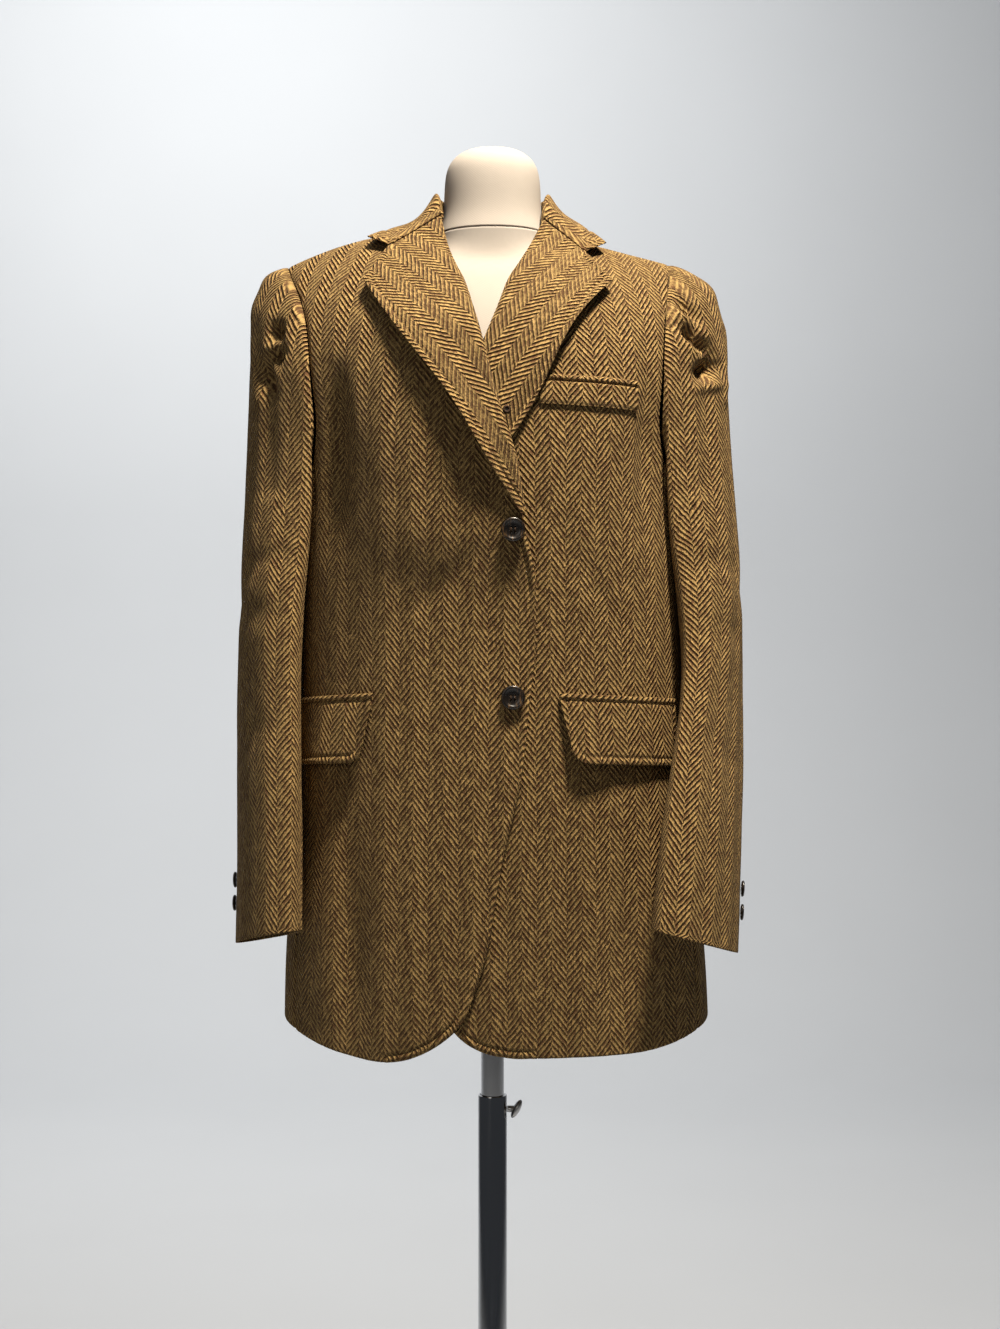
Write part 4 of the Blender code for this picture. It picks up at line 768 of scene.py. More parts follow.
def side_grid(side, columns, rows):
    """Outer points of the narrow panel under the arm, hem to armhole."""
    share = columns[None, :]
    top = ARMPIT_LEVEL + (ARMHOLE_LOW - ARMPIT_LEVEL) * (2.0 * share - 1.0) ** 2
    first = ring_angle(outer_reach(HEM_LEVEL, side, SIDE_SEAM), run_at(HEM_LEVEL))
    low = run_at(hem_level(first + (math.pi / 2.0 - first) * 2.0 * share))
    run = low + (run_at(top) - low) * rows[:, None]
    half_width = np.interp(run, RUNS, HALF_WIDTHS)
    trim = SEAM_GAP / (2.0 * half_width)
    inner = ring_angle(SIDE_SEAM * half_width, run) + trim
    outer = math.pi - ring_angle(BACK_SEAM * half_width, run) - trim
    return ring_point(inner + (outer - inner) * share, run, side)


def back_grid(side, columns, rows):
    """Outer points of a half back: side seam to centre seam, hem to neck."""
    share = columns[None, :]
    armhole = ring_angle(outer_reach(RIDGE_LEVEL, side, BACK_SEAM), RUN_TOP)
    reach = HALF_WIDTHS[-1] * np.sin(armhole * (1.0 - share)) ** (2.0 / RING_SHAPE)
    neck = np.sqrt(np.maximum(1.0 - (reach / NECK_BACK_REACH) ** 2, 0.0))
    top = RIDGE_LEVEL - (RIDGE_LEVEL - NECK_BACK_LEVEL) * neck
    low = run_at(hem_level(math.pi))
    run = low + (run_at(top) - SHOULDER_GAP - low) * rows[:, None]
    level = np.interp(run, RUNS, LEVELS)
    half_width = np.interp(run, RUNS, HALF_WIDTHS)
    inner = math.pi - ring_angle(outer_reach(level, side, BACK_SEAM), run) + SEAM_GAP / (2.0 * half_width)
    outer = math.pi - ring_angle(SEAM_GAP / 2.0, run)
    points = ring_point(inner + (outer - inner) * share, run, side)
    depth = creased(0.0, BACK_CREASES, side, points[..., 0], points[..., 2])
    return points - grid_normals(points, BODY_MIDDLE) * depth[..., None]


def resampled(points, count):
    lengths = steps_along(points)
    at = np.linspace(0.0, lengths[-1], count)
    return np.stack([np.interp(at, lengths, points[:, k]) for k in range(3)], axis=1)


def even_loop(down, up, count):
    """A closed loop with even steps from its top to its lowest point and back up."""
    middle = count // 2
    return np.concatenate((resampled(down, middle + 1), resampled(up, count - middle)[1:]))


def armhole_loop(side, count):
    """The armhole from the shoulder seam down the front, under the arm and up the back."""
    runs = np.linspace(RUN_TOP, run_at(ARMHOLE_LOW), 60)
    levels = np.interp(runs, RUNS, LEVELS)
    front = ring_point(ring_angle(outer_reach(levels, side, SIDE_SEAM), runs), runs, side)
    back = ring_point(math.pi - ring_angle(outer_reach(levels, side, BACK_SEAM), runs), runs, side)
    under = side_grid(side, np.linspace(0.0, 1.0, 41), np.array([1.0]))[0]
    half = len(under) // 2
    down = np.concatenate((front, under[1:half + 1]))
    up = np.concatenate((under[half:-1], back[::-1]))
    return even_loop(down, up, count)


def sleeve_ring(side, row, count):
    """One section of the sleeve: an oval, cupped round the body and turned in plan."""
    centre_x, centre_z, reach_x, reach_z, middle_y, half_depth, turn, cup, lean, _ = row
    angles = np.radians(np.linspace(0.0, 360.0, 361))
    turn = math.radians(turn)
    thick = reach_x * np.cos(angles) - cup * np.sin(angles) ** 2
    deep = half_depth * np.sin(angles)
    reach = centre_x + thick * math.cos(turn) - deep * math.sin(turn)
    y = middle_y - thick * math.sin(turn) - deep * math.cos(turn)
    z = centre_z + reach_z * np.cos(angles) + lean * deep
    points = np.stack((SIGN[side] * reach + sway(z), y, z), axis=1)
    return even_loop(points[:181], points[180:], count)


def sleeve_surface(side, around, along):
    """Sleeve points at angles round it (0 outer, 90 front) and shares of its length."""
    loop_steps = 288
    loop = armhole_loop(side, loop_steps + 1)
    turns = np.linspace(0.0, 360.0, loop_steps + 1)
    rings = [loop]
    for row in SLEEVE_CAP + SLEEVE_ARM[side]:
        own = row[-1]
        ring = sleeve_ring(side, row, loop_steps + 1)
        read = turns - own * SLEEVE_SKEW * np.sin(np.radians(turns))
        ring = np.stack([np.interp(read, turns, ring[:, k]) for k in range(3)], axis=1)
        rings.append(own * ring + (1.0 - own) * loop)
    rings = np.array(rings)
    knots = steps_along(rings[:, 0])
    lengths = spline(knots / knots[-1], rings, along)
    place = (np.asarray(around) % 360.0) / 360.0 * loop_steps
    low = np.floor(place).astype(int) % loop_steps
    share = (place - np.floor(place))[None, :, None]
    return lengths[:, low] * (1.0 - share) + lengths[:, low + 1] * share


def fold_distance(side, points, from_around, from_along, to_around, to_along):
    """How far each sleeve point lies from a line drawn on the sleeve between two places."""
    line = sleeve_surface(side, np.linspace(from_around, to_around, 6), np.linspace(from_along, to_along, 6))
    line = line[range(6), range(6)]
    away = np.full(points.shape[:2], np.inf)
    for start, end in zip(line, line[1:]):
        way = end - start
        share = np.clip((points - start) @ way / (way @ way), 0.0, 1.0)
        away = np.minimum(away, np.linalg.norm(points - start - share[..., None] * way, axis=-1))
    return away


def sleeve_depth(side, around, along, points):
    """All dents, creases and soft folds of a sleeve."""
    total = np.zeros(points.shape[:2])
    for name, middle, place, half_around, half_along, deep in SLEEVE_DENTS:
        if name == side:
            total += deep * (bump((around[None, :] - middle) / half_around)
                             * bump((along[:, None] - place) / half_along))
    in_front = smooth_step(*HEAD_CREASE_BACK, points[..., 1])
    for name, *crease in HEAD_CREASES:
        if name == side:
            total += in_front * crease_depth(points[..., 0], points[..., 2], *crease)
    for name, *ends, half_width, depth in SLEEVE_FOLDS:
        if name == side:
            total += depth * bump(fold_distance(side, points, *ends) / half_width)
    return total


def lapel_flat(side, columns, rows):
    """A lapel laid flat: x and height from roll line to edge and from break to gorge."""
    roll_end, notch, tip, *edge = (np.array(p) for p in LAPELS[side])
    levels = np.linspace(BREAK_LEVEL + LAPEL_FOOT_RISE, ROLL_TOP, 12)
    roll_x = sway(levels) + SIGN[side] * front_edge_reach(side, levels)
    roll = np.concatenate((np.stack((roll_x, levels), axis=1), roll_end[None]))
    outer = np.array([tip] + edge)[::-1]
    outer[0, 1] = levels[0]

    def along(points):
        steps = steps_along(points)
        return spline(steps / steps[-1], points, rows)

    low_side = along(roll)
    high_side = along(outer)
    share = columns[None, :, None]
    near = np.clip(columns / NOTCH_SHARE, 0.0, 1.0)[:, None]
    far = np.clip((columns - NOTCH_SHARE) / (1.0 - NOTCH_SHARE), 0.0, 1.0)[:, None]
    top = roll_end + (notch - roll_end) * near + (tip - notch) * far
    straight = roll_end + (tip - roll_end) * columns[:, None]
    flat = low_side[:, None] * (1.0 - share) + high_side[:, None] * share
    flat = flat + (top - straight)[None] * rows[:, None, None] ** GORGE_SHARPNESS
    width = np.linalg.norm(high_side - low_side, axis=1)[:, None] * columns[None, :]
    return flat[..., 0], flat[..., 1], width


def lapel_grid(side, columns, rows):
    """Outer points of a lapel, lying on its front."""
    x, z, width = lapel_flat(side, columns, rows)
    rolled = smooth_step(0.0, ROLL_WIDTH, width)
    lift = LAPEL_LIFT * rolled ** ROLL_ROUNDNESS
    lift = lift + (LAPEL_EDGE_LIFT - LAPEL_LIFT) * columns[None, :] ** 2
    start, full, easing, tip_share = LAPEL_SPRING[side][1:]
    spring = smooth_step(start, full, z) * (1.0 - (1.0 - tip_share) * smooth_step(full, easing, z))
    lift = lift + LAPEL_SPRING[side][0] * columns[None, :] ** 2 * spring
    if side == "right":
        lift = lift + lap_lift(x, z)
    points = front_point(x, z, lift)[0]
    roll_x, roll_z = LAPELS[side][0]
    lean = LEAN_Y + LEAN_ACROSS * (np.abs(x) - abs(roll_x)) + LEAN_UP * (z - roll_z)
    ahead = np.maximum(points[..., 1] - lean, 0.0)
    points[..., 1] -= ahead * smooth_step(*LEAN_LEVELS, z)
    return points


def collar_section(foot, roll, edge, dip_near, dip_far):
    """Seven points across the collar: up the stand, over the roll and down the fall."""
    foot, roll, edge = np.array(foot), np.array(roll), np.array(edge)
    outward = (edge - roll) * (1.0, 1.0, 0.0)
    outward /= np.linalg.norm(outward)
    inside, outside = (roll + outward * COLLAR_ROLL_RADIUS * out + UP * COLLAR_ROLL_RADIUS * rise
                       for out, rise in (COLLAR_ROLL_INSIDE, COLLAR_ROLL_OUTSIDE))
    near, far = (roll + (edge - roll) * share + UP * dip
                 for share, dip in zip(COLLAR_BENDS, (dip_near, dip_far)))
    return np.array((foot, inside, roll, outside, near, far, edge))


def gorge_section(side, columns):
    """The collar's end: its fall follows the top of the lapel, then runs out to the corner."""
    shares = np.interp(columns, COLLAR_KNOTS[2:6], GORGE_SHARES)
    lapel = lapel_grid(side, shares, np.array([1.0]))[0] + UP * GORGE_GAP
    roll, notch = lapel_grid(side, np.array((0.0, NOTCH_SHARE)), np.array([1.0]))[0] + UP * GORGE_GAP
    corner = front_point(*COLLAR_CORNERS[side], COLLAR_CORNER_LIFT)[0]
    ways = np.array(((SIGN[side], 0.0, 0.0), (0.0, 1.0, 0.0), UP))
    inside, foot = (roll + np.array(step) @ ways for step in (GORGE_INSIDE, GORGE_FOOT))
    stand = spline(COLLAR_KNOTS[:3], np.array((foot, inside, roll)), columns)
    beyond = ((columns - COLLAR_KNOTS[5]) / (1.0 - COLLAR_KNOTS[5]))[:, None]
    end = notch + (corner - notch) * beyond
    at = columns[:, None]
    return np.where(at < COLLAR_KNOTS[2], stand, np.where(at > COLLAR_KNOTS[5], end, lapel))


def collar_grid(columns, rows):
    """Outer points of the collar: rows from gorge to gorge, columns foot to roll to edge."""
    sections = [collar_section(*row) for row in COLLAR_SECTIONS]
    across = [spline(COLLAR_KNOTS, section, columns) for section in sections]
    across = np.array([gorge_section("right", columns)] + across + [gorge_section("left", columns)])
    rolls = np.array([spline(COLLAR_KNOTS, section, COLLAR_KNOTS[2]) for section in sections])
    ends = [lapel_grid(side, np.array([0.0]), np.array([1.0]))[0] for side in SIGN]
    steps = steps_along(np.concatenate((ends[0], rolls, ends[1])))
    return spline(steps / steps[-1], across, rows)


def pocket_grid(side, columns, rows, top, height, lift, slant, corner):
    """Points lying on the body at a pocket mouth, from its inner end round to the side, with the
    cloth's length across and up to each."""
    inner_x, level, fall = FLAPS[side]
    angles = np.linspace(0.0, POCKET_ARC, 400)
    ring = ring_point(angles, np.full(len(angles), run_at(level)), side)
    lengths = steps_along(ring)
    start = np.interp(ring_angle(SIGN[side] * (inner_x - sway(level)), run_at(level)), angles, lengths)
    share = columns[None, :]
    inset = np.clip(corner - share * FLAP_WIDTH, 0.0, corner)
    bottom = height - (corner - np.sqrt(np.maximum(corner ** 2 - inset ** 2, 0.0)))
    down = bottom * rows[:, None]
    length = start + FLAP_WIDTH * share + slant * (1.0 - share) * down / height
    angle = np.interp(length, lengths, angles)
    run = run_at(level + top - fall * share - down)
    points = ring_point(angle, run, side)
    points = on_front(side, points, (0.0, 0.0, level), lift)
    return points, np.broadcast_to(SIGN[side] * length, run.shape), run


def welt_grid(columns, rise):
    """Points of the breast welt on the left front, the pocket's mouth and the bead above it."""
    x = WELT_START + (WELT_END - WELT_START) * columns[None, :]
    z = WELT_TOP - WELT_FALL * columns[None, :] + rise[:, None]
    lift = np.interp(rise, *np.array(WELT_PROFILE).T)[:, None]
    return front_point(x, z, lift - front_depth("left", x, z))[0]


def node(tree, kind, inputs=None, **settings):
    """Adds a shader node with its settings; an input is a value, an output or a node's first output."""
    made = tree.nodes.new("ShaderNode" + kind)
    for name, value in settings.items():
        setattr(made, name, value)
    for socket, value in (inputs or {}).items():
        if isinstance(value, bpy.types.Node):
            value = value.outputs[0]
        if isinstance(value, bpy.types.NodeSocket):
            tree.links.new(value, made.inputs[socket])
        else:
            made.inputs[socket].default_value = value
    return made


def new_material(name):
    """An empty material, its node tree and its Principled shader."""
    made = bpy.data.materials.new(name)
    made.use_nodes = True
    return made, made.node_tree, made.node_tree.nodes["Principled BSDF"]


def tweed(cloth):
    """Woven wool: a herringbone twill of tan and brown carded yarn. The eye gets zigzag ribs,
    a hairy, broken edge to each rib, yarn that changes shade and a soft matt sheen of loose fibre.
    The yarns are drawn coarser than real ones, which would not show."""
    made, tree, shader = new_material("wool_tweed_herringbone_woven")
    place = node(tree, "UVMap", uv_map="cloth").outputs["UV"]
    wander = node(tree, "TexNoise", {"Vector": place, "Scale": 1.0 / 0.014, "Detail": 2.0})
    shift = node(tree, "VectorMath", {0: wander.outputs["Color"], 1: (0.5, 0.5, 0.5)}, operation="SUBTRACT")
    moved = node(tree, "VectorMath", {0: shift, 1: (0.0016, 0.0016, 0.0), 2: place},
                 operation="MULTIPLY_ADD")
    at = node(tree, "SeparateXYZ", {0: moved})
    zigzag = node(tree, "Math", {0: at.outputs["X"], 1: cloth.stripe}, operation="PINGPONG")
    rise = node(tree, "Math", {0: zigzag, 1: math.tan(cloth.rib_slope), 2: at.outputs["Y"]},
                operation="MULTIPLY_ADD")
    stripe = node(tree, "Math", {0: at.outputs["X"], 1: cloth.stripe}, operation="DIVIDE")
    number = node(tree, "Math", {0: stripe}, operation="FLOOR")
    half_rib = node(tree, "Math", {0: number, 1: math.pi}, operation="MULTIPLY")
    phase = node(tree, "Math", {0: rise, 1: 2.0 * math.pi / cloth.rib, 2: half_rib},
                 operation="MULTIPLY_ADD")
    ribs = node(tree, "Math", {0: phase}, operation="SINE")
    yarn_turn = node(tree, "Math", {0: at.outputs["X"], 1: 2.0 * math.pi / cloth.thread},
                     operation="MULTIPLY")
    yarns = node(tree, "Math", {0: yarn_turn}, operation="SINE")
    fibre = node(tree, "TexNoise", {"Vector": place, "Scale": 1.0 / 0.0021, "Detail": 3.0,
                                    "Roughness": 0.62})
    broken = node(tree, "Math", {0: fibre.outputs["Fac"], 1: 5.0, 2: -2.5}, operation="MULTIPLY_ADD")
    with_fibre = node(tree, "Math", {0: ribs, 1: broken}, operation="ADD")
    relief = node(tree, "Math", {0: yarns, 1: 0.28, 2: with_fibre}, operation="MULTIPLY_ADD")
    float_x = node(tree, "Math", {0: at.outputs["X"], 1: cloth.thread}, operation="DIVIDE")
    float_y = node(tree, "Math", {0: phase, 1: 2.0 * math.pi}, operation="DIVIDE")
    cell = node(tree, "CombineXYZ", {"X": float_x, "Y": float_y})
    whole = node(tree, "VectorMath", {0: cell}, operation="FLOOR")
    chance = node(tree, "TexWhiteNoise", {"Vector": whole}, noise_dimensions="2D")
    spread = node(tree, "Math", {0: chance.outputs["Value"], 1: 2.0, 2: -1.0}, operation="MULTIPLY_ADD")
    floats = node(tree, "Math", {0: relief, 1: spread}, operation="ADD")
    share = node(tree, "MapRange", {"Value": floats, "From Min": -1.25, "From Max": 1.25},
                 interpolation_type="SMOOTHSTEP")
    slub = node(tree, "TexNoise", {"Vector": place, "Scale": 1.0 / 0.011, "Detail": 2.0})
    slub_share = node(tree, "MapRange", {"Value": slub.outputs["Fac"], "From Min": 0.34, "From Max": 0.66})
    light = node(tree, "Mix", {"Factor": slub_share, 6: (*cloth.light_yarn, 1.0),
                               7: (*cloth.light_yarn_2, 1.0)}, data_type="RGBA")
    dark = node(tree, "Mix", {"Factor": slub_share, 6: (*cloth.dark_yarn, 1.0),
                              7: (*cloth.dark_yarn_2, 1.0)}, data_type="RGBA")
    colour = node(tree, "Mix", {"Factor": share, 6: dark.outputs[2], 7: light.outputs[2]}, data_type="RGBA")
    tree.links.new(colour.outputs[2], shader.inputs["Base Color"])
    hairs = node(tree, "Math", {0: broken, 1: 0.22, 2: ribs}, operation="MULTIPLY_ADD")
    raised = node(tree, "Bump", {"Height": hairs, "Strength": 1.0, "Distance": cloth.relief})
    tree.links.new(raised.outputs["Normal"], shader.inputs["Normal"])
    shader.inputs["Roughness"].default_value = 0.92
    shader.inputs["Specular IOR Level"].default_value = 0.18
    shader.inputs["Sheen Weight"].default_value = 0.10
    shader.inputs["Sheen Roughness"].default_value = 0.55
    shader.inputs["Sheen Tint"].default_value = (*linear("#D9B98A"), 1.0)
    return made


def cotton_thread(cloth):
    """Spun cotton sewing thread: two plies twisted together, matt, each turn a small bump."""
    made, tree, shader = new_material("cotton_thread_spun")
    place = node(tree, "TexCoord").outputs["Object"]
    plies = node(tree, "TexWave", {"Vector": place, "Scale": 1.0 / 0.0022, "Distortion": 1.5},
                 wave_type="BANDS", bands_direction="DIAGONAL")
    tone = node(tree, "Mix", {"Factor": plies.outputs["Fac"], 6: (*cloth.sewing, 1.0),
                              7: (*(0.45 * c for c in cloth.sewing), 1.0)}, data_type="RGBA")
    tree.links.new(tone.outputs[2], shader.inputs["Base Color"])
    raised = node(tree, "Bump", {"Height": plies.outputs["Fac"], "Strength": 0.4, "Distance": 0.0001})
    tree.links.new(raised.outputs["Normal"], shader.inputs["Normal"])
    shader.inputs["Roughness"].default_value = 0.85
    return made


def horn(trim):
    """Polished buffalo horn: nearly black with amber streaks running one way, under a soft shine."""
    made, tree, shader = new_material("buffalo_horn_polished")
    place = node(tree, "TexCoord").outputs["Object"]
    along = node(tree, "Mapping", {"Vector": place, "Rotation": (0.3, 0.2, 0.7),
                                   "Scale": (1.0 / 0.0030, 1.0 / 0.0140, 1.0 / 0.0140)})
    grain = node(tree, "TexNoise", {"Vector": along, "Scale": 1.0, "Detail": 4.0, "Roughness": 0.6,
                                    "Distortion": 0.6})
    streak = node(tree, "MapRange", {"Value": grain.outputs["Fac"], "From Min": 0.52, "From Max": 0.74},
                  interpolation_type="SMOOTHSTEP")
    tone = node(tree, "Mix", {"Factor": streak, 6: (*trim.horn, 1.0), 7: (*trim.horn_streak, 1.0)},
                data_type="RGBA")
    tree.links.new(tone.outputs[2], shader.inputs["Base Color"])
    wear = node(tree, "MapRange", {"Value": grain.outputs["Fac"], "To Min": 0.24, "To Max": 0.42})
    tree.links.new(wear.outputs[0], shader.inputs["Roughness"])
    raised = node(tree, "Bump", {"Height": grain.outputs["Fac"], "Strength": 0.2, "Distance": 0.0002})
    tree.links.new(raised.outputs["Normal"], shader.inputs["Normal"])
    shader.inputs["IOR"].default_value = 1.54
    shader.inputs["Coat Weight"].default_value = 0.25
    shader.inputs["Coat Roughness"].default_value = 0.18
    return made


def linen(form):
    """Plain-woven linen stretched over the form: cream, matt, thread over and under thread with
    thicker slubs. The threads are drawn twice their size, because finer ones would not show."""
    made, tree, shader = new_material("linen_plain_woven")
    place = node(tree, "UVMap", uv_map="cloth").outputs["UV"]
    at = node(tree, "SeparateXYZ", {0: place})
    turn = math.pi / form.linen_thread
    across = node(tree, "Math", {0: at.outputs["X"], 1: turn}, operation="MULTIPLY")
    up = node(tree, "Math", {0: at.outputs["Y"], 1: turn}, operation="MULTIPLY")
    warp = node(tree, "Math", {0: across}, operation="SINE")
    weft = node(tree, "Math", {0: up}, operation="SINE")
    weave = node(tree, "Math", {0: warp, 1: weft}, operation="MULTIPLY")
    slub = node(tree, "TexNoise", {"Vector": place, "Scale": 1.0 / 0.009, "Detail": 4.0})
    height = node(tree, "Math", {0: weave, 1: 0.4, 2: slub.outputs["Fac"]}, operation="MULTIPLY_ADD")
    share = node(tree, "MapRange", {"Value": height, "From Min": 0.0, "From Max": 1.0, "To Min": 0.35,
                                    "To Max": 0.0})
    tone = node(tree, "Mix", {"Factor": share, 6: (*form.linen, 1.0), 7: (*form.linen_shade, 1.0)},
                data_type="RGBA")
    tree.links.new(tone.outputs[2], shader.inputs["Base Color"])
    raised = node(tree, "Bump", {"Height": height, "Strength": 0.25, "Distance": 0.0003})
    tree.links.new(raised.outputs["Normal"], shader.inputs["Normal"])
    shader.inputs["Roughness"].default_value = 0.88
    shader.inputs["Specular IOR Level"].default_value = 0.25
    return made


def plated(name, colour, low, high, grain, lengthwise):
    """Metal with a fine directional finish: reflections are drawn out by polishing marks that
    vary the roughness, and a few handling smears dull it."""
    made, tree, shader = new_material(name)
    place = node(tree, "TexCoord").outputs["Object"]
    along = node(tree, "Mapping", {"Vector": place, "Scale": lengthwise})
    marks = node(tree, "TexNoise", {"Vector": along, "Scale": 1.0 / grain, "Detail": 3.0})
    smears = node(tree, "TexNoise", {"Vector": place, "Scale": 1.0 / 0.06, "Detail": 3.0})
    both = node(tree, "Math", {0: marks.outputs["Fac"], 1: smears.outputs["Fac"]}, operation="MULTIPLY")
    dull = node(tree, "MapRange", {"Value": both, "From Min": 0.12, "From Max": 0.42, "To Min": low,
                                   "To Max": high})
    tree.links.new(dull.outputs[0], shader.inputs["Roughness"])
    tone = node(tree, "Mix", {"Factor": smears.outputs["Fac"], 6: (*colour, 1.0),
                              7: (*(0.82 * c for c in colour), 1.0)}, data_type="RGBA")
    tree.links.new(tone.outputs[2], shader.inputs["Base Color"])
    raised = node(tree, "Bump", {"Height": marks.outputs["Fac"], "Strength": 0.06, "Distance": 0.0002})
    tree.links.new(raised.outputs["Normal"], shader.inputs["Normal"])
    shader.inputs["Metallic"].default_value = 1.0
    return made


def sweep_paint(stage):
    """Matt painted studio sweep: pale, even, with a barely visible mottle."""
    made, tree, shader = new_material("studio_sweep_matt_paint")
    place = node(tree, "TexCoord").outputs["Object"]
    mottle = node(tree, "TexNoise", {"Vector": place, "Scale": 1.0 / 0.5, "Detail": 2.0})
    tone = node(tree, "Mix", {"Factor": mottle.outputs["Fac"], 6: (*stage.sweep, 1.0),
                              7: (*(0.95 * c for c in stage.sweep), 1.0)}, data_type="RGBA")
    tree.links.new(tone.outputs[2], shader.inputs["Base Color"])
    shader.inputs["Roughness"].default_value = 0.9
    return made


def finish_named(name, maker, *settings):
    """A material made once and used by every piece of its kind."""
    return bpy.data.materials.get(name) or maker(*settings)


def link_piece(name, mesh, finish, body, nodes=()):
    """Puts a finished mesh in the scene as a piece that rides on a body."""
    piece = bpy.data.objects.new(name, mesh)
    bpy.context.scene.collection.objects.link(piece)
    mesh.materials.append(finish)
    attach(piece, body)
    if nodes:
        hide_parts(*nodes)
    return piece


def combine(piece, tool, operation):
    """Cuts a mesh out of a piece or joins it on."""
    helper = bpy.data.objects.new(tool.name, tool)
    bpy.context.scene.collection.objects.link(helper)
    step = piece.modifiers.new("combine", "BOOLEAN")
    step.operation = operation
    step.solver = "EXACT"
    step.object = helper
    graph = bpy.context.evaluated_depsgraph_get()
    finished = bpy.data.meshes.new_from_object(piece.evaluated_get(graph))
    piece.modifiers.clear()
    piece.data = finished
    bpy.data.objects.remove(helper, do_unlink=True)


def draped(points, inside):
    """A grid with the cloth's soft unevenness, and its normals."""
    normals = grid_normals(points, inside)
    return points + normals * waves(points, bpy.context.scene.blazer_cloth.waviness)[..., None], normals


def edge_distance(points, edge):
    """Each grid point's distance from an edge line and its place along that line."""
    line = resampled(edge, max(8, int(steps_along(edge)[-1] / EDGE_STEP)))
    tree = KDTree(len(line))
    for i, point in enumerate(line):
        tree.insert(point, i)
    tree.balance()
    found = [tree.find(point)[1:] for point in points.reshape(-1, 3)]
    along, away = np.array(found).T
    return away.reshape(points.shape[:2]), along.reshape(points.shape[:2])


def sewn_edges(points, normals, cloth, stitched=None, plain=(), seams=()):
    """Shapes the sheet's borders: stitched edges swell beyond a groove, bare ones are rounded and
    seams sink. Gives the shaped points and, where there is stitching, the line it follows."""
    out = np.zeros(points.shape[:2])
    line = None
    free = np.full(points.shape[:2], np.inf)
    if stitched is not None:
        away, along = edge_distance(points, stitched)
        inset = cloth.stitch_inset
        middle, half_width = SWELL_SHAPE
        out += cloth.swell * bump((away - middle * inset) / (half_width * inset))
        out -= cloth.groove * bump((away - inset) / GROOVE_WIDTH)
        free = np.minimum(free, away)
    for edge in plain:
        free = np.minimum(free, edge_distance(points, edge)[0])
    for edge in seams:
        out -= SEAM_SINK * bump(edge_distance(points, edge)[0] / SEAM_WIDTH)
    inner = np.clip(EDGE_ROUNDING - free, 0.0, EDGE_ROUNDING)
    out -= EDGE_ROUNDING - np.sqrt(EDGE_ROUNDING ** 2 - inner ** 2)
    shaped = points + normals * out[..., None]
    if stitched is not None:
        line = contour(shaped, normals, away - inset, along)
    return shaped, line


def contour(points, normals, field, along):
    """Points where a grid's field is zero, in order along the edge, with their normals."""
    found = []
    for axis in (0, 1):
        count = field.shape[axis] - 1
        one = np.take(field, range(count), axis)
        two = np.take(field, range(1, count + 1), axis)
        cross = (one * two < 0.0)
        share = (one[cross] / (one[cross] - two[cross]))[:, None]
        for_axis = []
        for values in (points, normals, along[..., None]):
            near = np.take(values, range(count), axis)[cross]
            far = np.take(values, range(1, count + 1), axis)[cross]
            for_axis.append(near + (far - near) * share)
        found.append(np.concatenate(for_axis, axis=1))
    found = np.concatenate(found)
    return found[np.argsort(found[:, 6])][:, :6]


def laid_flat(points, normals, grain, origin):
    """A grid laid flat as cut: the weave follows the grain and keeps its size as evenly as the shape
    allows. A coarse net of the grid's lines is fitted to their lengths and filled in smoothly."""
    up = grain + np.zeros(points.shape)
    up = up - normals * (up * normals).sum(axis=-1, keepdims=True)
    up /= np.linalg.norm(up, axis=-1, keepdims=True)
    frame_ways = np.stack((np.cross(up, normals), up), axis=-2)
    shape = points.shape[:2]
    lines = [np.unique(np.linspace(0, n - 1, most).astype(int)) for n, most in zip(shape, NET_LINES)]
    number = np.arange(len(lines[0]) * len(lines[1])).reshape(len(lines[0]), len(lines[1]))
    pull = np.zeros((number.size, number.size))
    reach = np.zeros((number.size, 2))
    for axis in (0, 1):
        near, far = (np.take(frame_ways, range(k, shape[axis] - 1 + k), axis) for k in (0, 1))
        steps = np.einsum("ijkl,ijl->ijk", (near + far) / 2.0, np.diff(points, axis=axis))
        run = np.cumsum(np.insert(steps, 0, 0.0, axis), axis)[np.ix_(*lines)]
        way = np.diff(run, axis=axis).reshape(-1, 2)
        one, two = (np.take(number, range(k, number.shape[axis] - 1 + k), axis).ravel() for k in (0, 1))
        hold = 1.0 / np.maximum((way ** 2).sum(axis=1), 1e-8)
        for a, b, turn in ((one, two, -1.0), (two, one, 1.0)):
            np.add.at(pull, (a, a), hold)
            np.add.at(pull, (a, b), -hold)
            np.add.at(reach, a, turn * hold[:, None] * way)
    pull[0, 0] += pull.max()
    net = np.linalg.solve(pull, reach).reshape(number.shape + (2,))
    flat = spline(lines[0], net, np.arange(shape[0])).swapaxes(0, 1)
    flat = spline(lines[1], flat, np.arange(shape[1])).swapaxes(0, 1)
    return flat - flat[origin]


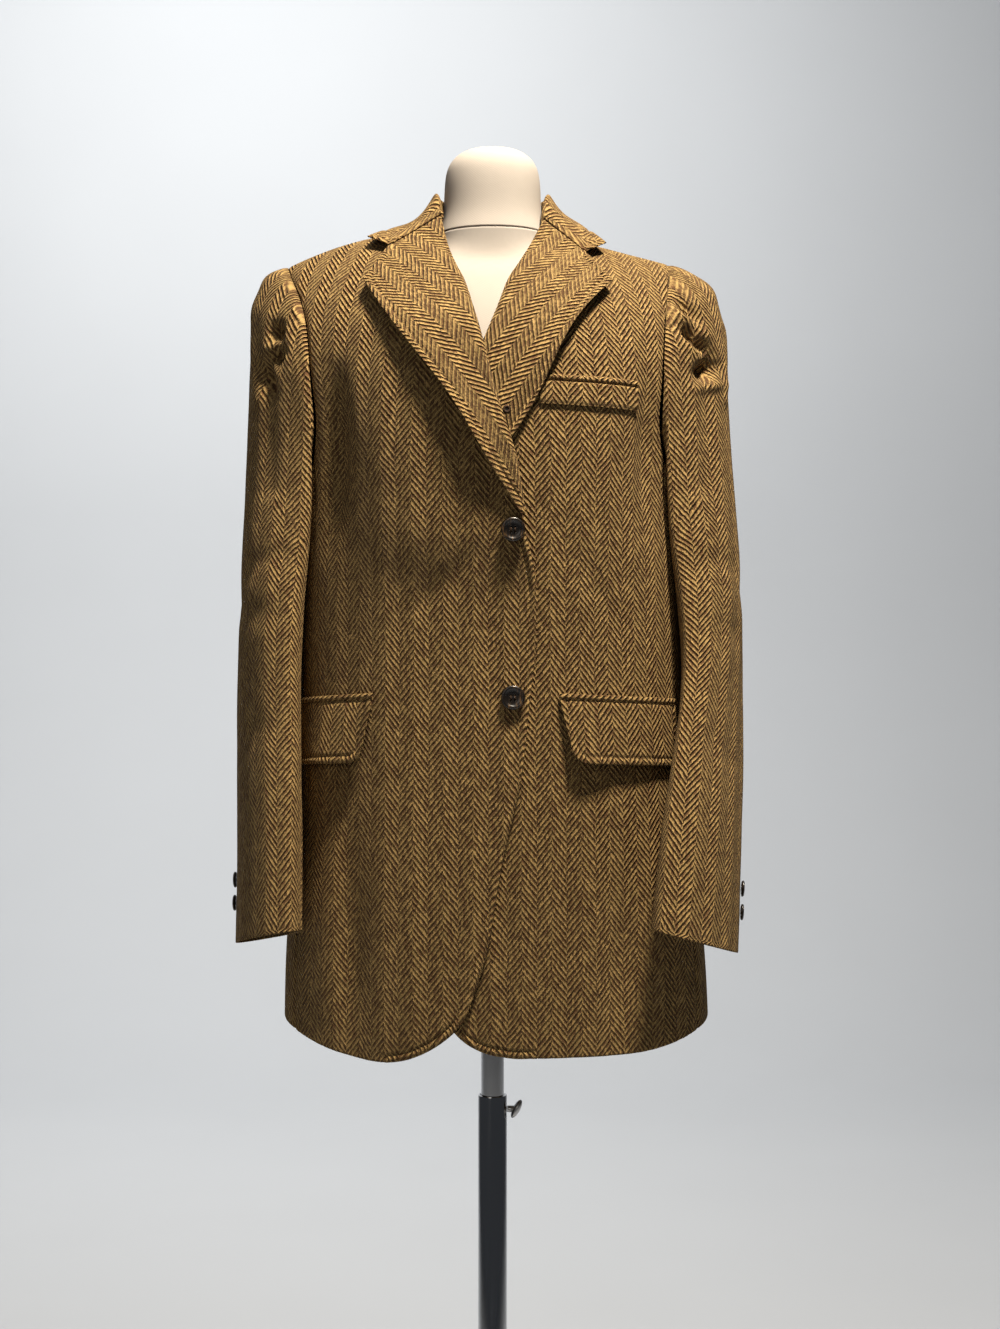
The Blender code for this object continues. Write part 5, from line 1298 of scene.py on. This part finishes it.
def tweed_piece(name, points, laid, inside, wall):
    """A panel of tweed through a fine grid of points, thickened inwards, in place of its solid. The
    weave is laid by the grid's flat places."""
    rows, columns = points.shape[:2]
    corner = np.arange(rows * columns).reshape(rows, columns)
    faces = np.stack((corner[:-1, :-1], corner[:-1, 1:], corner[1:, 1:], corner[1:, :-1]), axis=-1)
    faces = faces.reshape(-1, 4)
    raw = np.cross(np.gradient(points, axis=1), np.gradient(points, axis=0))
    if (raw * (points - np.asarray(inside))).sum() < 0.0:
        faces = faces[:, ::-1]
    mesh = bpy.data.meshes.new(name)
    mesh.from_pydata(points.reshape(-1, 3).tolist(), [], faces.tolist())
    layer = mesh.uv_layers.new(name="cloth")
    corners = np.empty(len(mesh.loops), np.int32)
    mesh.loops.foreach_get("vertex_index", corners)
    layer.data.foreach_set("uv", laid.reshape(-1, 2)[corners].astype(np.float32).ravel())
    mesh.shade_smooth()
    finish = finish_named("wool_tweed_herringbone_woven", tweed, bpy.context.scene.blazer_cloth)
    piece = link_piece(name + "_cloth", mesh, finish, "figure", (name,))
    thick = piece.modifiers.new("wall", "SOLIDIFY")
    thick.thickness = wall
    thick.offset = -1.0
    return piece


def cloth_piece(name, points, laid, inside, wall):
    """A panel of tweed that is a sheet of its own."""
    piece = tweed_piece(name, points, laid, inside, wall)


def tubes(name, strands, radius, sides=6):
    """Lengths of cotton thread as round strands that taper at their ends, in one mesh."""
    turns = np.linspace(0.0, 2.0 * np.pi, sides, endpoint=False)
    verts = []
    faces = []
    for strand in strands:
        strand = np.asarray(strand, float)
        count = len(strand)
        way = np.gradient(strand, axis=0)
        way /= np.maximum(np.linalg.norm(way, axis=1, keepdims=True), 1e-12)
        first = np.cross(way, (0.31, 0.55, 0.77))
        first /= np.linalg.norm(first, axis=1, keepdims=True)
        second = np.cross(way, first)
        taper = np.clip(np.sin(np.pi * (np.arange(count) + 0.35) / (count - 0.3)), 0.05, 1.0)
        taper = radius * np.sqrt(taper)
        base = len(verts)
        for i in range(count):
            around = np.cos(turns)[:, None] * first[i] + np.sin(turns)[:, None] * second[i]
            verts.extend((strand[i] + taper[i] * around).tolist())
        for i in range(count - 1):
            for k in range(sides):
                a = base + i * sides + k
                b = base + i * sides + (k + 1) % sides
                faces.append((a, b, b + sides, a + sides))
        faces.append(tuple(base + k for k in range(sides))[::-1])
        faces.append(tuple(base + (count - 1) * sides + k for k in range(sides)))
    mesh = bpy.data.meshes.new(name)
    mesh.from_pydata(verts, [], faces)
    mesh.shade_smooth()
    finish = finish_named("cotton_thread_spun", cotton_thread, bpy.context.scene.blazer_cloth)
    link_piece(name, mesh, finish, "figure")


def stitching(name, line):
    """A row of short sunk stitches along a line of points and normals."""
    cloth = bpy.context.scene.blazer_cloth
    lengths = steps_along(line[:, :3])
    keep = np.concatenate(([True], np.diff(lengths) > 1e-6))
    lengths = lengths[keep]
    line = line[keep]
    middles = np.arange(cloth.stitch_pitch, lengths[-1] - cloth.stitch_pitch, cloth.stitch_pitch)
    strands = []
    for middle in middles:
        at = middle + cloth.stitch_pitch * STITCH_REACH * np.linspace(-1.0, 1.0, len(STITCH_ARCH))
        points = np.stack([np.interp(at, lengths, line[:, k]) for k in range(6)], axis=1)
        strands.append(points[:, :3] + points[:, 3:] * STITCH_ARCH[:, None])
    tubes(name, strands, STITCH_RADIUS)


def turned(name, profile, steps, place):
    """The mesh of a closed section of radius and height, turned about the Z axis and set in its place."""
    made = bmesh.new()
    turns = [2.0 * math.pi * i / steps for i in range(steps)]
    loops = [[made.verts.new((radius * math.cos(t), radius * math.sin(t), height)) for t in turns]
             for radius, height in profile]
    for low, high in zip(loops, loops[1:]):
        for i in range(steps):
            made.faces.new((low[i - 1], low[i], high[i], high[i - 1]))
    bmesh.ops.remove_doubles(made, verts=made.verts[:], dist=WELD)
    bmesh.ops.recalc_face_normals(made, faces=made.faces[:])
    bmesh.ops.transform(made, matrix=place, verts=made.verts[:])
    mesh = bpy.data.meshes.new(name)
    made.to_mesh(mesh)
    made.free()
    mesh.shade_smooth()
    return mesh


def lathe(name, profile, steps, finish, body, nodes, place=Matrix()):
    """A turned piece with crisp edges."""
    mesh = turned(name, profile, steps, place)
    mesh.set_sharp_from_angle(angle=math.radians(42.0))
    return link_piece(name, mesh, finish, body, nodes)


class BLAZER_OT_stage(bpy.types.Operator):
    """Pale sweep, soft studio light and the camera"""

    bl_idname = "blazer.stage"
    bl_label = "Stage"

    def execute(self, context):
        scene = context.scene
        stage = scene.blazer_stage
        foot = SWEEP_WALL - SWEEP_BEND
        profile = [(SWEEP_FRONT, 0.0), (foot, 0.0)]
        for turn in np.radians(np.linspace(7.5, 90.0, 12)):
            profile.append((foot + SWEEP_BEND * math.sin(turn), SWEEP_BEND - SWEEP_BEND * math.cos(turn)))
        profile.append((SWEEP_WALL, SWEEP_HEIGHT))
        verts = [(x, y, z) for y, z in profile for x in (-SWEEP_HALF_WIDTH, SWEEP_HALF_WIDTH)]
        faces = [(2 * i, 2 * i + 1, 2 * i + 3, 2 * i + 2) for i in range(len(profile) - 1)]
        mesh = bpy.data.meshes.new("studio_sweep")
        mesh.from_pydata(verts, [], faces)
        mesh.shade_smooth()
        mesh.materials.append(sweep_paint(stage))
        sweep = bpy.data.objects.new("studio_sweep", mesh)
        scene.collection.objects.link(sweep)
        for name, place, aim, size, power, colour in LIGHTS:
            data = bpy.data.lights.new(name, "AREA")
            data.shape = "DISK"
            data.size = size
            data.energy = getattr(stage, power)
            data.color = linear(colour)
            lamp = bpy.data.objects.new(name, data)
            lamp.location = place
            lamp.visible_camera = False
            lamp.rotation_euler = (Vector(aim) - Vector(place)).to_track_quat("-Z", "Y").to_euler()
            scene.collection.objects.link(lamp)
        world = bpy.data.worlds.new("studio_room")
        world.use_nodes = True
        ground = world.node_tree.nodes["Background"]
        ground.inputs["Color"].default_value = (*linear("#E8EEF8"), 1.0)
        ground.inputs["Strength"].default_value = stage.room
        scene.world = world
        scene.view_settings.view_transform = "Standard"
        camera = bpy.data.objects.new("camera", bpy.data.cameras.new("camera"))
        camera.location = stage.eye
        camera.rotation_euler = (math.pi / 2.0, 0.0, 0.0)
        camera.data.sensor_width = 36.0
        camera.data.sensor_fit = "AUTO"
        camera.data.lens = stage.lens
        scene.collection.objects.link(camera)
        scene.camera = camera
        return {"FINISHED"}


class BLAZER_OT_fronts(bpy.types.Operator):
    """The two fronts with their swelled, stitched edges"""

    bl_idname = "blazer.fronts"
    bl_label = "Fronts"

    def execute(self, context):
        cloth = context.scene.blazer_cloth
        columns = gathered(104)
        rows = gathered(230, 0.72)
        for side in SIGN:
            points, normals = draped(front_grid(side, columns, rows), BODY_MIDDLE)
            start, below = (int(np.argmin(np.abs(points[:, 0, 2] - level)))
                            for level in (LAY_LEVEL, BREAK_LEVEL))
            laid = laid_flat(points, normals, UP, (start, 0))
            hem_end = int(np.searchsorted(steps_along(points[0]), HEM_STITCHING))
            stitched = np.concatenate((points[0, hem_end::-1], points[1:below, 0]))
            points, line = sewn_edges(points, normals, cloth, stitched, (points[0], points[:, 0]),
                                      (points[:, -1], points[-1]))
            cloth_piece("front_" + side, points, laid, BODY_MIDDLE, cloth.wall)
            stitching("front_stitching_" + side, line)
        return {"FINISHED"}


class BLAZER_OT_backs(bpy.types.Operator):
    """The side panels and the two half backs"""

    bl_idname = "blazer.backs"
    bl_label = "Sides and backs"

    def execute(self, context):
        cloth = context.scene.blazer_cloth
        panels = (("side_", side_grid, gathered(30), gathered(130, 0.7), 15),
                  ("back_", back_grid, gathered(72), gathered(170, 0.72), -1))
        for side in SIGN:
            for name, grid, columns, rows, middle in panels:
                points, normals = draped(grid(side, columns, rows), BODY_MIDDLE)
                start = int(np.argmin(np.abs(points[:, 0, 2] - LAY_LEVEL)))
                laid = laid_flat(points, normals, UP, (start, middle))
                points = sewn_edges(points, normals, cloth, None, (points[0],),
                                    (points[:, 0], points[:, -1], points[-1]))[0]
                cloth_piece(name + side, points, laid, BODY_MIDDLE, cloth.wall)
        return {"FINISHED"}


class BLAZER_OT_sleeves(bpy.types.Operator):
    """Top and under sleeves, empty, with folds where the heads fall in"""

    bl_idname = "blazer.sleeves"
    bl_label = "Sleeves"

    def execute(self, context):
        cloth = context.scene.blazer_cloth
        halves = (("top_sleeve_", SLEEVE_BACK_SEAM, SLEEVE_FRONT_SEAM, 110),
                  ("under_sleeve_", SLEEVE_FRONT_SEAM, 360.0 + SLEEVE_BACK_SEAM, 66))
        cap = np.linspace(0.0, CAP_END, 120)
        arm = np.linspace(CAP_END, CUFF_LINES[0], 84)[1:]
        along = np.concatenate((cap, arm, CUFF_LINES[1:]))
        start = int(np.searchsorted(along, LAY_SHARE))
        for side in SIGN:
            whole = sleeve_surface(side, np.linspace(0.0, 350.0, 36), along)
            inside = whole.mean(axis=(0, 1))
            grain = -np.gradient(whole.mean(axis=1), along, axis=0)
            grain[along < CAP_END] = UP * np.linalg.norm(grain[along >= CAP_END][0])
            for name, low, high, count in halves:
                around = low + (high - low) * gathered(count, 0.7)
                points = sleeve_surface(side, around, along)
                normals = grid_normals(points, inside)
                depth = sleeve_depth(side, around, along, points) if name == "top_sleeve_" else 0.0
                lift = waves(points, cloth.waviness) * smooth_step(0.0, HEAD_CALM, along)[:, None] - depth
                column = int(np.argmin(np.abs(around - LAY_AROUND[name])))
                laid = laid_flat(points, normals, grain[:, None], (start, column))
                points = points + normals * lift[..., None]
                points = sewn_edges(points, normals, cloth, None, (points[-1],),
                                    (points[:, 0], points[:, -1], points[0]))[0]
                inward = points[0] - points[4]
                inward /= np.linalg.norm(inward, axis=1, keepdims=True)
                tucks = [points[0] + reach * inward - sink * normals[0] for reach, sink in ARMHOLE_TUCK]
                points = np.concatenate((np.array(tucks), points))
                laid = np.concatenate([laid[:1] + (0.0, rise) for rise in ARMHOLE_TUCK_FLAT] + [laid])
                cloth_piece(name + side, points, laid, inside, cloth.fold_wall)
        return {"FINISHED"}


class BLAZER_OT_lapels(bpy.types.Operator):
    """Notched lapels and the collar, with stitched edges and the lapel's buttonhole"""

    bl_idname = "blazer.lapels"
    bl_label = "Lapels and collar"

    def execute(self, context):
        cloth = context.scene.blazer_cloth
        columns = np.union1d(gathered(70), [NOTCH_SHARE])
        rows = gathered(150, 0.75)
        notch = int(np.searchsorted(columns, NOTCH_SHARE))
        for side in SIGN:
            points, normals = draped(lapel_grid(side, columns, rows), BEHIND_CHEST)
            rise = np.array(LAPELS[side][2]) - np.array(LAPELS[side][4])
            laid = laid_flat(points, normals, np.array((rise[0], 0.0, rise[1])), (-1, -1))
            stitched = np.concatenate((points[:, -1], points[-1, -2:notch - 1:-1]))
            points, line = sewn_edges(points, normals, cloth, stitched, (points[:, 0],),
                                      (points[-1, :notch],))
            cloth_piece("lapel_" + side, points, laid, BEHIND_CHEST,
                        cloth.fold_wall)
            stitching("lapel_stitching_" + side, line)
            if side == "left":
                self.buttonhole(points, normals)
        columns = np.union1d(gathered(76, 0.6), COLLAR_KNOTS[[2, 5]])
        rows = gathered(210, 0.6)
        points = collar_grid(columns, rows)
        normals = grid_normals(points, NECK_MIDDLE)
        roll = int(np.searchsorted(columns, COLLAR_KNOTS[2]))
        end = int(np.searchsorted(columns, COLLAR_KNOTS[5]))
        laid = laid_flat(points, normals, -np.gradient(points, axis=1), (len(rows) // 2, roll))
        stitched = np.concatenate((points[0, end:], points[1:, -1], points[-1, -2:end - 1:-1]))
        points, line = sewn_edges(points, normals, cloth, stitched, (points[:, 0],),
                                  (points[0, :end], points[-1, :end]))
        cloth_piece("collar", points, laid, NECK_MIDDLE,
                    cloth.fold_wall)
        stitching("collar_stitching", line)
        return {"FINISHED"}

    def buttonhole(self, points, normals):
        """The eye of a buttonhole, overcast with thread, beside the other lapel's roll. The eye is a thin
        near-black disc, painted shadow in place of the hole.
        """
        away = np.hypot(points[..., 0] - BUTTONHOLE[0], points[..., 2] - BUTTONHOLE[1])
        row, column = np.unravel_index(np.argmin(away), away.shape)
        middle = points[row, column]
        out = normals[row, column]
        right = np.cross(out, UP)
        right /= np.linalg.norm(right)
        up = np.cross(right, out)
        strands = []
        for turn in np.radians(np.arange(0.0, 360.0, 15.0)):
            ray = np.cos(turn) * right + np.sin(turn) * up
            strands.append(middle + OVERCAST_REACH[:, None] * ray + OVERCAST_RISE[:, None] * out)
        tubes("lapel_buttonhole", strands, OVERCAST_RADIUS)
        turns = np.linspace(0.0, 2.0 * np.pi, 25)[:-1]
        rim = [middle + EYE_LIFT * out + EYE_RADIUS * (math.cos(t) * right + math.sin(t) * up) for t in turns]
        mesh = bpy.data.meshes.new("lapel_buttonhole_eye")
        low = [point - EYE_DEPTH * out for point in rim]
        count = len(rim)
        faces = [tuple(range(count)), tuple(range(2 * count - 1, count - 1, -1))]
        faces += [(i, i + count, (i + 1) % count + count, (i + 1) % count) for i in range(count)]
        mesh.from_pydata([tuple(p) for p in rim + low], [], faces)
        # Painted shadow: the eye's disc is coloured near black with a faint mottle, standing for the dark
        # inside of the hole
        hole_painted_shadow, tree, shader = new_material("buttonhole_shadow_felted")
        grain = node(tree, "TexNoise", {"Scale": 1.0 / 0.001})
        tone = node(tree, "Mix", {"Factor": grain.outputs["Fac"], 6: (*linear("#0B0806"), 1.0),
                                  7: (*linear("#17100A"), 1.0)}, data_type="RGBA")
        tree.links.new(tone.outputs[2], shader.inputs["Base Color"])
        shader.inputs["Roughness"].default_value = 1.0
        link_piece("lapel_buttonhole_eye", mesh, hole_painted_shadow, "figure")


class BLAZER_OT_pockets(bpy.types.Operator):
    """Flaps, their jets and the breast welt"""

    bl_idname = "blazer.pockets"
    bl_label = "Pockets"

    def execute(self, context):
        cloth = context.scene.blazer_cloth
        columns = gathered(84)
        for side in SIGN:
            inside = (0.0, 0.0, FLAPS[side][1])
            rows = gathered(9, 0.5)
            points, across, run = pocket_grid(side, gathered(60), rows, JET_HEIGHT + SEAM_GAP, JET_HEIGHT,
                                              JET_LIFT, 0.0, JET_CORNER)
            normals = grid_normals(points, inside)
            round_out = JET_SWELL * np.sin(np.pi * rows)[:, None]
            points = points + normals * (waves(points, cloth.waviness) + round_out - JET_SINK)[..., None]
            laid = np.stack((run, across), axis=-1)
            jet = tweed_piece("jet_" + side, points, laid, inside, cloth.fold_wall)
            rows = gathered(46)
            points, across, run = pocket_grid(side, columns, rows, 0.0, FLAP_HEIGHT, FLAP_LIFT,
                                              FLAP_SLANT, FLAP_CORNER)
            normals = grid_normals(points, inside)
            lower = smooth_step(0.0, 1.0, np.linspace(0.0, 1.0, len(rows)))[:, None]
            ripple, pace = FLAP_RIPPLE
            curl = FLAP_CURL * lower * (1.0 + ripple * np.sin(pace * columns + SIGN[side]))[None, :]
            curl = curl * (1.0 - FLAP_CALM_SHARE * smooth_step(*FLAP_CALM, columns))[None, :]
            points = points + normals * (waves(points, cloth.waviness) + curl)[..., None]
            stitched = np.concatenate((points[:, 0], points[-1, 1:], points[-2::-1, -1]))
            points, line = sewn_edges(points, normals, cloth, stitched, (), (points[0],))
            cloth_piece("flap_" + side, points, np.stack((across, run), axis=-1), inside,
                        cloth.fold_wall)
            stitching("flap_stitching_" + side, line)
        columns = gathered(80)
        strip = -WELT_HEIGHT * gathered(26)[::-1]
        bead = np.linspace(WELT_PROFILE[3][0], WELT_PROFILE[-1][0], 18)
        inside = (0.0, 0.0, WELT_TOP)
        points, normals = draped(welt_grid(columns, np.concatenate((strip, bead))), inside)
        run = np.cumsum(np.linalg.norm(np.diff(points, axis=0, prepend=points[:1]), axis=-1), axis=0)
        laid = np.stack((points[..., 0], run), axis=-1)
        ends = (points[:len(strip), 0], points[:len(strip), -1])
        points = sewn_edges(points, normals, cloth, None, ends, (points[0],))[0]
        cloth_piece("breast_welt", points, laid, inside, cloth.fold_wall)
        return {"FINISHED"}


class BLAZER_OT_buttons(bpy.types.Operator):
    """Turned horn buttons with four holes, sewn on"""

    bl_idname = "blazer.buttons"
    bl_label = "Buttons"

    def execute(self, context):
        for name, height in BUTTON_HEIGHTS.items():
            point, normal = front_point(BUTTON_X, height, lap_lift(np.array(BUTTON_X), np.array(height)))
            self.button(context, name, BUTTON_RADIUS, point, normal)
        for side in SIGN:
            around = CUFF_BUTTON_AROUND + np.array(CUFF_BUTTON_PATCH)
            along = np.linspace(CUFF_START, 1.0, 401)
            patch = sleeve_surface(side, around, along)
            inside = sleeve_surface(side, around + 180.0, along)
            lengths = np.linalg.norm(np.diff(patch[:, 1], axis=0), axis=1)
            up = np.cumsum(lengths[::-1])[::-1]
            for number, rise in enumerate(CUFF_BUTTON_RISE, 1):
                row = int(np.argmin(np.abs(up - rise)))
                normal = np.cross(patch[row, 2] - patch[row, 0], patch[row + 2, 1] - patch[row - 2, 1])
                normal /= np.linalg.norm(normal)
                if normal @ (patch[row, 1] - inside[row, 1]) < 0.0:
                    normal = -normal
                name = f"cuff_button_{side}_{number}"
                self.button(context, name, CUFF_BUTTON_RADIUS, patch[row, 1], normal)
        return {"FINISHED"}

    def button(self, context, name, radius, point, normal):
        """One button, its holes cut through and sewn on with two bars of thread."""
        trim = context.scene.blazer_trim
        scale = radius / BUTTON_RADIUS
        normal = Vector(normal)
        turn = normal.to_track_quat("Z", "Y").to_matrix().to_4x4()
        place = Matrix.Translation(Vector(point) + normal * BUTTON_STANDOFF) @ turn
        profile = np.array(BUTTON_PROFILE) * (radius, MILLIMETRE * scale)
        finish = finish_named("buffalo_horn_polished", horn, trim)
        piece = lathe(name + "_horn", profile.tolist(), trim.steps, finish, "figure", (name,),
                      place=place)
        holes = bmesh.new()
        reach = trim.hole_place * scale
        hole_radius = trim.hole_radius * scale
        for x in (-reach, reach):
            for y in (-reach, reach):
                bmesh.ops.create_cone(holes, cap_ends=True, segments=20, radius1=hole_radius,
                                      radius2=hole_radius, depth=0.02,
                                      matrix=place @ Matrix.Translation((x, y, 0.0)))
        cutter = bpy.data.meshes.new(name + "_holes")
        holes.to_mesh(cutter)
        holes.free()
        combine(piece, cutter, "DIFFERENCE")
        ends = np.linspace(-reach, reach, 9)
        top = THREAD_TOP * scale
        heights = top + THREAD_ARCH * scale - THREAD_DIP * scale * np.abs(ends / reach) ** 6
        strands = []
        for x in (-reach, reach):
            for shift in THREAD_STRANDS:
                local = [(x + shift * scale, y, height) for y, height in zip(ends, heights)]
                strands.append([tuple(place @ Vector(p)) for p in local])
        tubes(name + "_thread", strands, THREAD_RADIUS * scale)


class BLAZER_OT_form(bpy.types.Operator):
    """The linen-covered body and neck of the dress form"""

    bl_idname = "blazer.form"
    bl_label = "Dress form"

    def execute(self, context):
        form = context.scene.blazer_form
        finish = finish_named("linen_plain_woven", linen, form)
        for name, table, count in (("form_torso", FORM_RINGS, 150), ("form_neck", NECK_RINGS, 70)):
            rings = np.array(table)
            steps = steps_along(rings[:, :2])
            fine = spline(steps, rings, steps[-1] * gathered(count, 0.75))
            self.cover(name, fine, finish)
        return {"FINISHED"}

    def cover(self, name, rings, finish):
        """A closed cover through level oval rings, its two ends turned in at the seam."""
        sides = 112
        turns = np.radians(np.arange(sides + 1) * 360.0 / sides)
        power = 2.0 / FORM_SHAPE
        levels, widths, fronts, backs = rings.T
        run = steps_along(rings[:, :2])
        away = np.minimum(run, run[-1] - run)
        turned_in = COVER_EDGE - np.sqrt(COVER_EDGE ** 2 - np.clip(COVER_EDGE - away, 0.0, COVER_EDGE) ** 2)
        made = bmesh.new()
        layer = made.loops.layers.uv.new("cloth")
        loops = []
        for level, width, front, back, inset in zip(levels, widths, fronts, backs, turned_in):
            x = (width - inset) * np.sign(np.sin(turns)) * np.abs(np.sin(turns)) ** power
            y = np.where(np.cos(turns) >= 0.0, inset - front, back - inset) * np.abs(np.cos(turns)) ** power
            loops.append([made.verts.new((a, b, level)) for a, b in zip(x[:-1], y[:-1])])
        girth = 2.0 * math.pi * float(widths.mean() + fronts.mean()) / 2.0
        for r in range(len(loops) - 1):
            for i in range(sides):
                j = (i + 1) % sides
                face = made.faces.new((loops[r][i], loops[r][j], loops[r + 1][j], loops[r + 1][i]))
                spots = ((i, r), (i + 1, r), (i + 1, r + 1), (i, r + 1))
                for corner, (a, b) in zip(face.loops, spots):
                    corner[layer].uv = (a / sides * girth, run[b])
        made.faces.new(loops[0][::-1])
        made.faces.new(loops[-1])
        bmesh.ops.recalc_face_normals(made, faces=made.faces[:])
        mesh = bpy.data.meshes.new(name)
        made.to_mesh(mesh)
        made.free()
        mesh.shade_smooth()
        mesh.set_sharp_from_angle(angle=math.radians(60.0))
        link_piece(name + "_cover", mesh, finish, "figure", (name,))


class BLAZER_OT_stand(bpy.types.Operator):
    """Chromed pole, thumb screw and weighted foot"""

    bl_idname = "blazer.stand"
    bl_label = "Stand"

    def execute(self, context):
        form = context.scene.blazer_form
        chrome = plated("steel_tube_chrome_plated", form.chrome, low=0.05, high=0.16, grain=0.004,
                        lengthwise=(1.0, 1.0, 0.02))
        steel = plated("steel_brushed", form.steel, low=0.22, high=0.42, grain=0.003,
                       lengthwise=(1.0, 1.0, 1.0))
        low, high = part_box("stand_tube")
        radius = high.x
        bore = TUBE_BORE
        lip = TUBE_LIP
        tube = [(bore, low.z), (radius, low.z), (radius, high.z - lip),
                (radius - 0.3 * lip, high.z - 0.3 * lip), (radius - lip, high.z), (bore + lip, high.z),
                (bore, high.z - lip), (bore, low.z)]
        lathe("stand_tube_plated", tube, 96, chrome, "stand", ("stand_tube",))
        low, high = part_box("form_rod")
        rod = [(0.0, low.z), (high.x - lip, low.z), (high.x, low.z + lip), (high.x, high.z), (0.0, high.z)]
        lathe("form_rod_plated", rod, 96, chrome, "rod", ("form_rod",))
        low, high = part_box("stand_base")
        foot = [(0.0, 0.0), *((high.x - inset, height) for inset, height in FOOT_RIM), *FOOT_HUB,
                (FOOT_TOP, high.z), (FOOT_SOCKET + SOCKET_EDGE[0], high.z),
                (FOOT_SOCKET, high.z - SOCKET_EDGE[1]), (FOOT_SOCKET, FOOT_FLOOR), (0.0, FOOT_FLOOR)]
        lathe("stand_base_turned", foot, 128, steel, "stand", ("stand_base",))
        self.thumb_screw(steel)
        return {"FINISHED"}

    def thumb_screw(self, steel):
        """A round shank with an oval, tilted wing for a head."""
        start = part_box("stand_knob")[0].x
        along_x = Matrix.Translation((start, 0.0, KNOB_LEVEL)) @ Matrix.Rotation(math.radians(90.0), 4, "Y")
        profile = [(0.0, 0.0), (SHANK_RADIUS - SHANK_EDGE, 0.0), (SHANK_RADIUS, SHANK_EDGE),
                   (SHANK_RADIUS, SHANK_LENGTH), (0.0, SHANK_LENGTH)]
        piece = lathe("stand_knob_turned", profile, 48, steel, "knob", ("stand_knob",),
                      place=along_x)
        shape = Matrix.Diagonal((*WING_HALF_SIZES, 1.0))
        tilt = Matrix.Rotation(WING_TILT, 4, "Y")
        place = Matrix.Translation((start + SHANK_LENGTH, 0.0, KNOB_LEVEL))
        ball = [(math.cos(t), math.sin(t)) for t in np.radians(np.linspace(-90.0, 90.0, 33))]
        combine(piece, turned("stand_knob_wing", ball, 48, place @ tilt @ shape), "UNION")


class BLAZER_PT_pieces(bpy.types.Panel):
    """Lists the blazer's pieces in the sidebar"""

    bl_label = "Blazer"
    bl_idname = "BLAZER_PT_pieces"
    bl_space_type = "VIEW_3D"
    bl_region_type = "UI"
    bl_category = "Blazer"

    def draw(self, context):
        for operator in OPERATORS:
            self.layout.operator(operator.bl_idname)


OPERATORS = (BLAZER_OT_stage, BLAZER_OT_stand, BLAZER_OT_form, BLAZER_OT_fronts, BLAZER_OT_backs,
             BLAZER_OT_sleeves, BLAZER_OT_lapels, BLAZER_OT_pockets, BLAZER_OT_buttons)
GROUPS = {"blazer_cloth": BlazerCloth, "blazer_trim": BlazerTrim, "blazer_form": DressForm,
          "blazer_stage": StudioStage}


def register():
    for group in GROUPS.values():
        bpy.utils.register_class(group)
    for name, group in GROUPS.items():
        setattr(bpy.types.Scene, name, PointerProperty(type=group))
    for operator in OPERATORS + (BLAZER_PT_pieces,):
        bpy.utils.register_class(operator)


def unregister():
    for operator in reversed(OPERATORS + (BLAZER_PT_pieces,)):
        bpy.utils.unregister_class(operator)
    for name in GROUPS:
        delattr(bpy.types.Scene, name)
    for group in reversed(list(GROUPS.values())):
        bpy.utils.unregister_class(group)


def main():
    register()
    bpy.ops.blazer.stage()
    bpy.ops.blazer.stand()
    bpy.ops.blazer.form()
    bpy.ops.blazer.fronts()
    bpy.ops.blazer.backs()
    bpy.ops.blazer.sleeves()
    bpy.ops.blazer.lapels()
    bpy.ops.blazer.pockets()
    bpy.ops.blazer.buttons()


if __name__ == "__main__":
    main()
